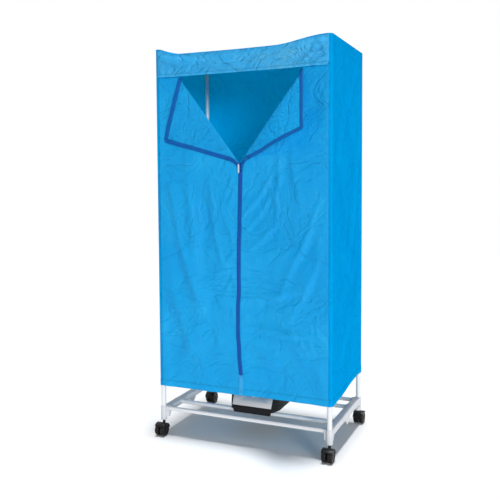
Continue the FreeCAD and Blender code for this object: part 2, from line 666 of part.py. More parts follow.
def heater_shell():
    """Upper housing with the fan duct hanging from its top and four screw bosses."""
    outside = heater_plan(0, HEATER_SPLIT_Z, HEATER_TOP_Z).common(heater_side(0))
    inside = heater_plan(HEATER_WALL, HEATER_SPLIT_Z, HEATER_TOP_Z).common(heater_side(HEATER_WALL))
    shell = outside.cut(inside)
    parts = [shell]
    parts.append(duct(DUCT_INSIDE + 2 * DUCT_WALL, DUCT_FOOT_Z, HEATER_TOP_Z - HEATER_WALL / 2))
    for x, y in heater_boss_places():
        parts.append(rod(HEATER_BOSS_RADIUS, Vector(x, y, HEATER_FLOOR_Z), Z_AXIS,
                         HEATER_TOP_Z - HEATER_WALL / 2 - HEATER_FLOOR_Z))
    housing = fuse_all(parts).cut(duct(DUCT_INSIDE, HEATER_FOOT_Z, HEATER_TOP_Z))
    housing = housing.common(heater_side(0).fuse(
        box(Vector(-HEATER_HALF_WIDTH, -HEATER_BOSS_Y - HEATER_BOSS_RADIUS, HEATER_FLOOR_Z),
            Vector(HEATER_HALF_WIDTH, HEATER_HALF_DEPTH, HEATER_SPLIT_Z))))
    ledge = duct(DUCT_INSIDE + DUCT_WALL, ELEMENT_LEDGE_Z - DUCT_WALL, ELEMENT_LEDGE_Z)
    ledge = ledge.cut(duct(DUCT_INSIDE - 2 * ELEMENT_LEDGE, HEATER_FOOT_Z, HEATER_TOP_Z))
    housing = fuse_all([housing, ledge])
    rebate = DUCT_INSIDE + 2 * GRILLE_REBATE
    housing = housing.cut(duct(rebate, grille_seat_z(), HEATER_TOP_Z))
    knob = slope_point(KNOB_ALONG)
    back = slope_normal() * -1
    knob_hole = KNOB_SPINDLE_RADIUS + KNOB_HOLE_MARGIN
    housing = housing.cut(rod(knob_hole, knob + slope_normal(), back, 2 * HEATER_WALL))
    lens = slope_point(KNOB_ALONG) + Vector(LENS_X, 0, 0)
    housing = housing.cut(rod(LENS_RADIUS + PUSH_FIT, lens + slope_normal(), back, 2 * HEATER_WALL))
    inlet = inlet_body(PUSH_FIT)
    return housing.cut(inlet)


def grille_seat_z():
    """Floor of the rebate that the outlet grille lies in."""
    return HEATER_TOP_Z - HEATER_WALL / 2


def heater_front_panel():
    """Silver plate on the sloping front, wider at its head than at its foot."""
    up = slope_up()
    length = slope_length()
    foot = slope_point(0)
    margin = PANEL_THICKNESS / 2
    low = foot + up * margin
    high = foot + up * (length - margin)
    face = outline([
        low + Vector(-PANEL_FOOT_HALF, 0, 0),
        low + Vector(PANEL_FOOT_HALF, 0, 0),
        high + Vector(PANEL_HEAD_HALF, 0, 0),
        high + Vector(-PANEL_HEAD_HALF, 0, 0),
    ])
    plate = face.extrude(slope_normal() * PANEL_THICKNESS)
    back = slope_normal() * -1
    knob = slope_point(KNOB_ALONG) + slope_normal() * (PANEL_THICKNESS * 2)
    plate = plate.cut(rod(KNOB_SPINDLE_RADIUS + RUNNING_FIT, knob, back, PANEL_THICKNESS * 3))
    lens = knob + Vector(LENS_X, 0, 0)
    return plate.cut(rod(LENS_RADIUS + PUSH_FIT, lens, back, PANEL_THICKNESS * 3))


def timer_knob():
    """Dial with a raised grip, on a spindle through the front panel."""
    normal = slope_normal()
    face = slope_point(KNOB_ALONG) + normal * (PANEL_THICKNESS + SIDE_PLAY)
    skirt = rod(KNOB_RADIUS, face, normal, KNOB_SKIRT)
    half = KNOB_RADIUS - KNOB_GRIP_INSET
    side = slope_up().cross(normal)
    bar_low = face + normal * KNOB_SKIRT - slope_up() * half - side * (KNOB_GRIP_WIDTH / 2)
    grip = outline([
        bar_low,
        bar_low + side * KNOB_GRIP_WIDTH,
        bar_low + side * KNOB_GRIP_WIDTH + slope_up() * (2 * half),
        bar_low + slope_up() * (2 * half),
    ]).extrude(normal * KNOB_GRIP_HEIGHT)
    spindle = rod(KNOB_SPINDLE_RADIUS, face, normal * -1, KNOB_SPINDLE_LENGTH)
    return fuse_all([skirt, grip, spindle])


def indicator_lens():
    """Round lens that shows through the front panel."""
    normal = slope_normal()
    base = slope_point(KNOB_ALONG) + Vector(LENS_X, 0, 0)
    stem = rod(LENS_RADIUS, base - normal * HEATER_WALL, normal, HEATER_WALL + PANEL_THICKNESS)
    crown = rod(LENS_RADIUS + LENS_DOME, base + normal * PANEL_THICKNESS, normal, LENS_DOME)
    return fuse_all([stem, crown])


def inlet_body(clearance):
    """Body and flange of the mains inlet, grown by a clearance."""
    half_x = INLET_WIDTH / 2 + clearance
    half_z = INLET_HEIGHT / 2 + clearance
    back = HEATER_HALF_DEPTH
    body = box(
        Vector(INLET_X - half_x, back - INLET_DEPTH, INLET_Z - half_z),
        Vector(INLET_X + half_x, back + INLET_FLANGE_THICKNESS, INLET_Z + half_z),
    )
    return body


def power_inlet():
    """Three-pin appliance inlet in the back wall."""
    back = HEATER_HALF_DEPTH
    half_x = INLET_WIDTH / 2 + INLET_FLANGE
    half_z = INLET_HEIGHT / 2 + INLET_FLANGE
    flange = box(
        Vector(INLET_X - half_x, back, INLET_Z - half_z),
        Vector(INLET_X + half_x, back + INLET_FLANGE_THICKNESS, INLET_Z + half_z),
    )
    inlet = fuse_all([inlet_body(0), flange])
    recess = box(
        Vector(INLET_X - INLET_WIDTH / 2 + DUCT_WALL, back - INLET_DEPTH + DUCT_WALL,
               INLET_Z - INLET_HEIGHT / 2 + DUCT_WALL),
        Vector(INLET_X + INLET_WIDTH / 2 - DUCT_WALL, back + INLET_FLANGE_THICKNESS,
               INLET_Z + INLET_HEIGHT / 2 - DUCT_WALL),
    )
    inlet = inlet.cut(recess)
    pins = [inlet]
    for step in (-1, 0, 1):
        centre = Vector(INLET_X + step * INLET_PIN_PITCH, back - INLET_DEPTH + DUCT_WALL / 2,
                        INLET_Z + (1 - abs(step)) * INLET_PIN_WIDTH * 2)
        low = centre - Vector(INLET_PIN_WIDTH / 2, 0, INLET_PIN_WIDTH)
        high = centre + Vector(INLET_PIN_WIDTH / 2, INLET_DEPTH - DUCT_WALL, INLET_PIN_WIDTH)
        pins.append(box(low, high))
    return fuse_all(pins)


def outlet_grille():
    """Slotted grille in the top of the heater."""
    outside = DUCT_INSIDE + 2 * GRILLE_REBATE - 2 * PUSH_FIT
    top_z = grille_seat_z() + GRILLE_THICKNESS
    grille = duct(outside, grille_seat_z(), top_z)
    half = DUCT_INSIDE / 2 - GRILLE_REBATE
    for index in range(GRILLE_SLOTS):
        x = (index - (GRILLE_SLOTS - 1) / 2) * GRILLE_SLOT_PITCH
        for side_y in (-1, 1):
            near = DUCT_CENTRE_Y + side_y * GRILLE_REBATE / 2
            far = DUCT_CENTRE_Y + side_y * half
            low = Vector(x - GRILLE_SLOT_WIDTH / 2, min(near, far), HEATER_FOOT_Z)
            high = Vector(x + GRILLE_SLOT_WIDTH / 2, max(near, far), top_z)
            grille = grille.cut(box(low, high))
    return grille


def heating_element():
    """Finned heating block on the ledges of the duct."""
    outside = DUCT_INSIDE - 2 * SOFT_GAP
    top = ELEMENT_LEDGE_Z + ELEMENT_HEIGHT
    frame = duct(outside, ELEMENT_LEDGE_Z, top)
    window = outside - 2 * ELEMENT_FRAME
    frame = frame.cut(duct(window, ELEMENT_LEDGE_Z, top))
    parts = [frame]
    overlap = ELEMENT_FRAME / 2
    for index in range(ELEMENT_FIN_COUNT):
        x = (index - (ELEMENT_FIN_COUNT - 1) / 2) * window / ELEMENT_FIN_COUNT
        reach = window / 2 + overlap
        fin_half = ELEMENT_FIN_THICKNESS / 2
        low = Vector(x - fin_half, DUCT_CENTRE_Y - reach, ELEMENT_LEDGE_Z + ELEMENT_FIN_INSET)
        high = Vector(x + fin_half, DUCT_CENTRE_Y + reach, top - ELEMENT_FIN_INSET)
        parts.append(box(low, high))
    for index in range(ELEMENT_BAR_COUNT):
        y = DUCT_CENTRE_Y + (index - (ELEMENT_BAR_COUNT - 1) / 2) * window / ELEMENT_BAR_COUNT
        reach = window / 2 + overlap
        low = Vector(-reach, y - ELEMENT_BAR_WIDTH / 2, ELEMENT_LEDGE_Z + ELEMENT_BAR_INSET)
        high = Vector(reach, y + ELEMENT_BAR_WIDTH / 2, top - ELEMENT_BAR_INSET)
        parts.append(box(low, high))
    return fuse_all(parts)


def motor_foot_z():
    """Underside of the fan motor, on its pedestal."""
    return HEATER_FLOOR_Z + MOTOR_PEDESTAL


def fan_motor():
    """Fan motor with its shaft."""
    foot = Vector(0, DUCT_CENTRE_Y, motor_foot_z())
    can = rod(MOTOR_RADIUS, foot, Z_AXIS, MOTOR_HEIGHT)
    shaft = rod(MOTOR_SHAFT_RADIUS, foot, Z_AXIS, MOTOR_HEIGHT + MOTOR_SHAFT_LENGTH)
    return fuse_all([can, shaft])


def fan_impeller():
    """Axial fan: flat blades that widen outwards, set at an angle round a hub."""
    centre = Vector(0, DUCT_CENTRE_Y, motor_foot_z() + MOTOR_HEIGHT + SIDE_PLAY)
    tip = math.sqrt(FAN_RADIUS ** 2 - (FAN_BLADE_CHORD / 2) ** 2)
    root_half = FAN_BLADE_ROOT_CHORD / 2
    tip_half = FAN_BLADE_CHORD / 2
    face = outline([
        Vector(FAN_BLADE_ROOT_RADIUS, -root_half, -FAN_BLADE_THICKNESS / 2),
        Vector(tip, -tip_half, -FAN_BLADE_THICKNESS / 2),
        Vector(tip, tip_half, -FAN_BLADE_THICKNESS / 2),
        Vector(FAN_BLADE_ROOT_RADIUS, root_half, -FAN_BLADE_THICKNESS / 2),
    ])
    parts = [rod(FAN_HUB_RADIUS, centre, Z_AXIS, FAN_HUB_HEIGHT)]
    for index in range(FAN_BLADES):
        blade = face.extrude(Vector(0, 0, FAN_BLADE_THICKNESS))
        blade.rotate(ORIGIN, X_AXIS, FAN_BLADE_PITCH)
        blade.rotate(ORIGIN, Z_AXIS, index * 360 / FAN_BLADES)
        blade.translate(centre + Vector(0, 0, FAN_HUB_HEIGHT / 2))
        parts.append(blade)
    fan = fuse_all(parts)
    return fan.cut(rod(MOTOR_SHAFT_RADIUS + RUNNING_FIT, centre, Z_AXIS, FAN_HUB_HEIGHT))


# ---------------------------------------------------------------- cloth cover

def cover_wall():
    """The four upright walls of the cover as one ring, before it is cut into its panels."""
    outer = rounded_prism(
        -COVER_OUTER_X, COVER_OUTER_X, -COVER_OUTER_Y, COVER_OUTER_Y, COVER_OUTER_RADIUS, HEM_Z,
        COVER_CEILING_Z
    )
    inner = rounded_prism(
        -COVER_INNER_X, COVER_INNER_X, -COVER_INNER_Y, COVER_INNER_Y, COVER_INNER_RADIUS, HEM_Z,
        COVER_CEILING_Z
    )
    return outer.cut(inner)


def cover_side():
    """Right-hand side panel with the two round corners that wrap the posts."""
    low = Vector(COVER_INNER_X - COVER_INNER_RADIUS, -COVER_OUTER_Y, HEM_Z)
    return cover_wall().common(box(low, Vector(COVER_OUTER_X, COVER_OUTER_Y, COVER_CEILING_Z)))


def cover_back():
    """Flat back panel between the two side panels."""
    half = COVER_INNER_X - COVER_INNER_RADIUS
    return box(Vector(-half, COVER_INNER_Y, HEM_Z), Vector(half, COVER_OUTER_Y, COVER_CEILING_Z))


def cover_top():
    """Top panel, which reaches forward over the valance."""
    return rounded_prism(
        -COVER_OUTER_X, COVER_OUTER_X, FRONT_Y - SOFT_GAP - CLOTH, COVER_OUTER_Y, COVER_OUTER_RADIUS,
        COVER_CEILING_Z, COVER_HEIGHT
    )


def cover_front():
    """Right-hand front panel: open above the zip, where its corner is folded out."""
    half = COVER_INNER_X - COVER_INNER_RADIUS
    zip_half = ZIP_WIDTH / 2
    points = [
        Vector(half, FRONT_Y, HEM_Z),
        Vector(0, FRONT_Y, HEM_Z),
        Vector(0, FRONT_Y, ZIP_BOTTOM_Z),
        Vector(zip_half, FRONT_Y, ZIP_BOTTOM_Z),
        Vector(zip_half, FRONT_Y, fold_height(zip_half)),
        Vector(WINDOW_HALF_WIDTH, FRONT_Y, WINDOW_TOP_Z),
        Vector(0, FRONT_Y, WINDOW_TOP_Z),
        Vector(0, FRONT_Y, COVER_CEILING_Z),
        Vector(half, FRONT_Y, COVER_CEILING_Z),
    ]
    return outline(points).extrude(Vector(0, CLOTH, 0))


def fold_height(x):
    """Height of the right fold line at a distance from the middle."""
    return WINDOW_BOTTOM_Z + (WINDOW_TOP_Z - WINDOW_BOTTOM_Z) * x / WINDOW_HALF_WIDTH


def fold_direction():
    """Direction of the right fold line, from its foot to its head."""
    line = Vector(WINDOW_HALF_WIDTH, 0, WINDOW_TOP_Z - WINDOW_BOTTOM_Z)
    return line * (1 / line.Length)


def flap(lift):
    """Right flap, folded out to stand lift degrees off the front panel.

    Its head is cut low enough for its inner edge to swing past the panel and the valance.
    """
    slope = (WINDOW_TOP_Z - WINDOW_BOTTOM_Z) / WINDOW_HALF_WIDTH
    offset = FLAP_EDGE * math.hypot(1, slope)
    middle_x = FLAP_EDGE + ZIP_WIDTH / 2
    swing_rise = (CLOTH + SOFT_GAP / 2) * fold_direction().x
    top_z = WINDOW_TOP_Z - FLAP_EDGE - swing_rise
    foot_z = fold_height(middle_x) + offset + FLAP_TIP
    y = FOLD_Y + SOFT_GAP / 2
    points = [
        Vector(middle_x, y, foot_z),
        Vector(middle_x, y, top_z),
        Vector((top_z - offset - WINDOW_BOTTOM_Z) / slope, y, top_z),
        Vector((foot_z - offset - WINDOW_BOTTOM_Z) / slope, y, foot_z),
    ]
    piece = outline(points).extrude(Vector(0, CLOTH, 0))
    piece.rotate(Vector(0, FOLD_Y, WINDOW_BOTTOM_Z), fold_direction(), 180 - lift)
    return piece


def valance():
    """Band of cloth that hangs from the top over the head of the front, round at its lower corners."""
    half = COVER_INNER_X - COVER_INNER_RADIUS
    y = FRONT_Y - SOFT_GAP
    diagonal = VALANCE_CORNER * (1 - math.sqrt(0.5))
    edges = [Part.makeLine(Vector(-half, y, COVER_CEILING_Z), Vector(half, y, COVER_CEILING_Z))]
    for side in (1, -1):
        end = Vector(side * half, y, VALANCE_FOOT_Z + VALANCE_CORNER)
        edges.append(Part.makeLine(Vector(side * half, y, COVER_CEILING_Z), end))
        bend = Vector(side * (half - diagonal), y, VALANCE_FOOT_Z + diagonal)
        edges.append(Part.Arc(end, bend, Vector(side * (half - VALANCE_CORNER), y, VALANCE_FOOT_Z)).toShape())
    left = Vector(-half + VALANCE_CORNER, y, VALANCE_FOOT_Z)
    edges.append(Part.makeLine(left, Vector(half - VALANCE_CORNER, y, VALANCE_FOOT_Z)))
    face = Part.Face(Part.Wire(Part.__sortEdges__(edges)))
    return face.extrude(Vector(0, -CLOTH, 0))


def zip_head_z():
    """Upper end of the closed zip."""
    return fold_height(ZIP_WIDTH / 2)


def zip_chain():
    """Closed zip from the window down to its stop, its teeth standing proud of the cloth."""
    low = Vector(-ZIP_WIDTH / 2, FRONT_Y - ZIP_TEETH_PROUD, ZIP_BOTTOM_Z)
    return box(low, Vector(ZIP_WIDTH / 2, FRONT_Y + CLOTH, zip_head_z()))


def slider_face_y():
    """Front face of the zip slider."""
    return FRONT_Y - ZIP_TEETH_PROUD - SOFT_GAP - SLIDER_DEPTH


def pull_pivot():
    """Axis of the pin that the zip pull hangs on."""
    return Vector(0, slider_face_y() - SLIDER_LUG_DEPTH / 2, zip_head_z() - SLIDER_HEIGHT / 3)


def zip_slider():
    """Slider that rides on the zip's teeth, with two lugs and a pin for its pull."""
    back_y = FRONT_Y - SOFT_GAP
    low_z = zip_head_z() - SLIDER_HEIGHT
    right = [
        (SLIDER_FOOT_HALF, 0),
        (SLIDER_WIDTH / 2, SLIDER_WIDE_LOW),
        (SLIDER_WIDTH / 2, SLIDER_WIDE_HIGH),
        (SLIDER_HEAD_HALF, SLIDER_HEIGHT),
    ]
    left = [(-x, rise) for x, rise in reversed(right)]
    face = [Vector(x, slider_face_y(), low_z + rise) for x, rise in right + left]
    body = outline(face).extrude(Vector(0, back_y - slider_face_y(), 0))
    groove_half = ZIP_WIDTH / 2 + SOFT_GAP
    groove = box(
        Vector(-groove_half, FRONT_Y - ZIP_TEETH_PROUD - SOFT_GAP, low_z),
        Vector(groove_half, FRONT_Y, low_z + SLIDER_HEIGHT),
    )
    pivot = pull_pivot()
    parts = [body.cut(groove)]
    gap = PULL_WIDTH / 2 + RUNNING_FIT * 2
    for side in (-1, 1):
        low = Vector(min(side * gap, side * (gap + SLIDER_LUG_THICKNESS)), slider_face_y() - SLIDER_LUG_DEPTH,
                     pivot.z - SLIDER_LUG_DEPTH / 2)
        high = Vector(low.x + SLIDER_LUG_THICKNESS, slider_face_y() + SLIDER_LUG_THICKNESS,
                      pivot.z + SLIDER_LUG_DEPTH / 2)
        parts.append(box(low, high))
    pin_half = gap + SLIDER_LUG_THICKNESS / 2
    parts.append(rod(SLIDER_PIN_RADIUS, pivot - Vector(pin_half, 0, 0), X_AXIS, 2 * pin_half))
    return fuse_all(parts)


def zip_pull():
    """Tongue that hangs from the slider's pin."""
    pivot = pull_pivot()
    half = PULL_WIDTH / 2
    eye_radius = SLIDER_PIN_RADIUS + RUNNING_FIT + PULL_EYE_WALL
    eye = rod(eye_radius, pivot - Vector(half, 0, 0), X_AXIS, PULL_WIDTH)
    blade = rounded_face(-half, half, -PULL_LENGTH, 0, PULL_CORNER, -PULL_THICKNESS / 2)
    blade = blade.extrude(Vector(0, 0, PULL_THICKNESS))
    blade.rotate(ORIGIN, X_AXIS, 90)
    blade.translate(pivot)
    pull = fuse_all([eye, blade])
    return pull.cut(rod(SLIDER_PIN_RADIUS + RUNNING_FIT, pivot - Vector(half, 0, 0), X_AXIS, PULL_WIDTH))


# ---------------------------------------------------------------- the whole cabinet

def save_frame():
    """Everything rigid above the castors."""
    save("end_frame_right", end_frame())
    save("end_frame_left", mirrored_x(end_frame()))
    for name, y in base_rail_places():
        save(name, base_rail(y))
    for name, (side_x, side_y) in CORNERS.items():
        save("lower_post_" + name, lower_post(side_x, side_y))
        save("upper_post_" + name, upper_post(side_x, side_y))
    save("top_end_bar_right", top_end_bar())
    save("top_end_bar_left", mirrored_x(top_end_bar()))
    save("hanging_rail_front", hanging_rail(-HANGING_RAIL_Y))
    save("hanging_rail_rear", hanging_rail(HANGING_RAIL_Y))


def save_castors():
    """The four castors."""
    for name, (side_x, side_y) in CORNERS.items():
        save("castor_hood_" + name, castor_hood(side_x, side_y))
        save("castor_wheel_" + name + "_a", castor_wheel(side_x, side_y, -1))
        save("castor_wheel_" + name + "_b", castor_wheel(side_x, side_y, 1))


def save_heater():
    """The lift-off fan heater."""
    save("heater_base", heater_base())
    save("heater_shell", heater_shell())
    save("heater_front_panel", heater_front_panel())
    save("outlet_grille", outlet_grille())
    save("heating_element", heating_element())
    save("fan_motor", fan_motor())
    save("fan_impeller", fan_impeller())
    save("timer_knob", timer_knob())
    save("indicator_lens", indicator_lens())
    save("power_inlet", power_inlet())


def save_cover():
    """The cloth cover with its zip and its two folded-out corners."""
    save("cover_top", cover_top())
    save("cover_back", cover_back())
    save("cover_side_right", cover_side())
    save("cover_side_left", mirrored_x(cover_side()))
    save("cover_front_right", cover_front())
    save("cover_front_left", mirrored_x(cover_front()))
    save("flap_right", flap(FLAP_RIGHT_LIFT))
    save("flap_left", mirrored_x(flap(0)))
    save("valance", valance())
    save("zip_chain", zip_chain())
    save("zip_slider", zip_slider())
    save("zip_pull", zip_pull())


os.makedirs("parts", exist_ok=True)
save_frame()
save_castors()
save_heater()
save_cover()
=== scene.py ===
"""Portable drying cabinet with a zipped cloth cover, dressed for rendering.

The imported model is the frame. The cloth, zip, wheels and small fittings are made here over its
solids, in metres, with X to the right, Y to the back and Z up.
"""

import logging
import math
from dataclasses import dataclass, field
from enum import Enum
from typing import Callable, Iterable, Sequence

import bmesh
import bpy
from mathutils import Matrix, Vector, noise


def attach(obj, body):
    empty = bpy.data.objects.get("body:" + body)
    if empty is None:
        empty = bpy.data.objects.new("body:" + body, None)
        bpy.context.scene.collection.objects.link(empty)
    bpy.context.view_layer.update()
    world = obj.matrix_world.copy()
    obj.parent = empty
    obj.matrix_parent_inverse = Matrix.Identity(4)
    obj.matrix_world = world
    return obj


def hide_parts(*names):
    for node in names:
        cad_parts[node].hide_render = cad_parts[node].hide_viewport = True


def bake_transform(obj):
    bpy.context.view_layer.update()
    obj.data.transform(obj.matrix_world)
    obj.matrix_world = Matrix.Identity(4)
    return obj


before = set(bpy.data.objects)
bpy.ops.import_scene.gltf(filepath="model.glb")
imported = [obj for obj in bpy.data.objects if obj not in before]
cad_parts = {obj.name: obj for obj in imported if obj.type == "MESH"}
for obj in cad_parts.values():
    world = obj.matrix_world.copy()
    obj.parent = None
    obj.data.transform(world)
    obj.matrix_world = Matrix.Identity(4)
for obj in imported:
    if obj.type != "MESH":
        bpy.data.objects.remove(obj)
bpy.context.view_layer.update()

logging.basicConfig(level=logging.INFO, format="%(message)s")
LOG = logging.getLogger("drying_cabinet")

MM = 0.001

# Sizes shared by several sub-assemblies, in metres, as the solids have them
POST_X = 0.340
POST_Y = 0.200
FRONT_Y = -0.2118
OUTER_X = 0.3518
OUTER_Y = 0.2118
CORNER_RADIUS = 0.0118
HEM_Z = 0.198
TOP_Z = 1.500
VALANCE_FOOT_Z = 1.393
HEAD_STRIP_TOP_Z = 1.495
FOLD_FOOT = Vector((0.0, -0.21195, 1.060))
FOLD_HEAD_X = 0.252
FOLD_HEAD_Z = 1.3927
FOLD_LENGTH = math.hypot(FOLD_HEAD_X, FOLD_HEAD_Z - FOLD_FOOT.z)
ZIP_FOOT_Z = 0.277
ZIP_GAP = 0.002
CLOTH_TOP_Z = 1.4985
CLOTH_THICK = 0.0009
BINDING_THICK = 0.0016
BINDING_PROUD = 0.0011
TAPE_WIDTH = 0.0155
HEM_LINES = (0.022, 0.0245)
HEM_FOLD = (0.0235, 0.0255)
HEM_STEP = 0.0007

Colour = tuple[float, float, float]


def srgb(red: int, green: int, blue: int) -> Colour:
    """Linear colour of an sRGB value given in the range 0 to 255."""
    def linear(value: int) -> float:
        share = value / 255
        return share / 12.92 if share <= 0.04045 else ((share + 0.055) / 1.055) ** 2.4
    return (linear(red), linear(green), linear(blue))


def dim(colour: Colour, share: float) -> Colour:
    """A colour at a share of its brightness."""
    return tuple(share * part for part in colour)


class Side(Enum):
    """Left or right half of the cabinet, seen from the front."""

    LEFT = -1
    RIGHT = 1

    @property
    def word(self) -> str:
        """The side's name as the solids use it."""
        return self.name.lower()


class Corner(Enum):
    """The four posts, each with its side along X and Y."""

    FRONT_LEFT = (-1, -1)
    FRONT_RIGHT = (1, -1)
    REAR_LEFT = (-1, 1)
    REAR_RIGHT = (1, 1)

    @property
    def word(self) -> str:
        """The corner's name as the solids use it."""
        return self.name.lower()


# ---------------------------------------------------------------- shader graphs

def empty_tree(owner: bpy.types.Material | bpy.types.World) -> bpy.types.NodeTree:
    """Turn an owner's nodes on and clear them."""
    owner.use_nodes = True
    owner.node_tree.nodes.clear()
    return owner.node_tree


def add_node(tree: bpy.types.NodeTree, kind: str, inputs: dict[str | int, object] | None = None,
             **settings: str) -> bpy.types.Node:
    """Add a node, choose its settings and fill its inputs.

    Args:
        tree: the tree to add to.
        kind: the node's type.
        inputs: for each input, by name or number, the socket that feeds it, a colour or a number.
        settings: the node's own properties, which decide what inputs it has.

    Returns:
        The new node.
    """
    node = tree.nodes.new(kind)
    for name, setting in settings.items():
        setattr(node, name, setting)
    for key, value in (inputs or {}).items():
        if isinstance(value, bpy.types.NodeSocket):
            tree.links.new(value, node.inputs[key])
        else:
            node.inputs[key].default_value = (*value, 1.0) if node.inputs[key].type == "RGBA" else value
    return node


class Graph:
    """A material's node tree, with short calls for the nodes that the finishes share."""

    def __init__(self, name: str) -> None:
        """Start an empty tree that ends in one Principled shader.

        Args:
            name: the material's name.
        """
        self.material = bpy.data.materials.new(name)
        self.tree = empty_tree(self.material)
        self.shader = add_node(self.tree, "ShaderNodeBsdfPrincipled")
        self.output = add_node(self.tree, "ShaderNodeOutputMaterial", {"Surface": self.shader.outputs["BSDF"]})
        self.coordinates = add_node(self.tree, "ShaderNodeTexCoord")

    def link(self, source: bpy.types.NodeSocket, target: bpy.types.NodeSocket) -> None:
        """Join two sockets."""
        self.tree.links.new(source, target)

    def plain(self, socket: str, value: float) -> None:
        """Set one of the shader's own sockets to a constant."""
        self.shader.inputs[socket].default_value = value

    def object_space(self, scale: Sequence[float] = (1, 1, 1)) -> bpy.types.NodeSocket:
        """Object coordinates in metres, stretched by a scale along each axis."""
        inputs = {"Scale": scale, "Vector": self.coordinates.outputs["Object"]}
        return add_node(self.tree, "ShaderNodeMapping", inputs).outputs["Vector"]

    def cloth_space(self) -> bpy.types.NodeSocket:
        """The piece's own flat cut in metres, from its UV map."""
        return add_node(self.tree, "ShaderNodeUVMap", uv_map="cut").outputs["UV"]

    def noise(
        self, space: bpy.types.NodeSocket, scale: float, detail: float = 3, rough: float = 0.5,
        distortion: float = 0.0
    ) -> bpy.types.NodeSocket:
        """Height of a noise pattern, in the range 0 to 1."""
        inputs = {"Vector": space, "Scale": scale, "Detail": detail, "Roughness": rough, "Distortion": distortion}
        return add_node(self.tree, "ShaderNodeTexNoise", inputs).outputs["Fac"]

    def stripes(self, space: bpy.types.NodeSocket, scale: float, direction: str) -> bpy.types.NodeSocket:
        """Even stripes along one direction, in the range 0 to 1."""
        inputs = {"Vector": space, "Scale": scale}
        return add_node(
            self.tree, "ShaderNodeTexWave", inputs, wave_type="BANDS", bands_direction=direction).outputs["Fac"]

    def math(self, operation: str, first: bpy.types.NodeSocket | float,
             second: bpy.types.NodeSocket | float = 0.0) -> bpy.types.NodeSocket:
        """One Math node over two sockets or numbers."""
        return add_node(self.tree, "ShaderNodeMath", {0: first, 1: second}, operation=operation).outputs[0]

    def spread(self, value: bpy.types.NodeSocket, low: float, high: float,
               start: float = 0.3, end: float = 0.7) -> bpy.types.NodeSocket:
        """A pattern moved from the range start to end into the range low to high."""
        inputs = {"Value": value, "From Min": start, "From Max": end, "To Min": low, "To Max": high}
        return add_node(self.tree, "ShaderNodeMapRange", inputs).outputs["Result"]

    def blend(self, share: bpy.types.NodeSocket, first: Colour | bpy.types.NodeSocket,
              second: Colour | bpy.types.NodeSocket) -> bpy.types.NodeSocket:
        """Two colours mixed by a pattern."""
        inputs = {"Factor": share, 6: first, 7: second}
        return add_node(self.tree, "ShaderNodeMix", inputs, data_type="RGBA").outputs[2]

    def colour(self, value: bpy.types.NodeSocket) -> None:
        """Drive the base colour."""
        self.link(value, self.shader.inputs["Base Color"])

    def roughness(self, value: bpy.types.NodeSocket) -> None:
        """Drive the roughness."""
        self.link(value, self.shader.inputs["Roughness"])

    def let_through(self, tint: Colour, share: float) -> None:
        """Let a share of the light through a thin sheet.

        Args:
            tint: the colour that the light takes on one face.
            share: how much of the shader is translucent.
        """
        glow = add_node(self.tree, "ShaderNodeBsdfTranslucent", {"Color": tint})
        both = add_node(self.tree, "ShaderNodeMixShader",
                        {"Fac": share, 1: self.shader.outputs["BSDF"], 2: glow.outputs["BSDF"]})
        self.link(both.outputs["Shader"], self.output.inputs["Surface"])

    def relief(self, layers: Iterable[tuple[bpy.types.NodeSocket, float]]) -> None:
        """Bump the surface by several patterns.

        Args:
            layers: pairs of a pattern and the height in metres that it stands for.
        """
        below: dict[str, bpy.types.NodeSocket] = {}
        for height, distance in layers:
            inputs = {"Strength": 1.0, "Distance": distance, "Height": height, **below}
            below = {"Normal": add_node(self.tree, "ShaderNodeBump", inputs).outputs["Normal"]}
        self.link(below["Normal"], self.shader.inputs["Normal"])


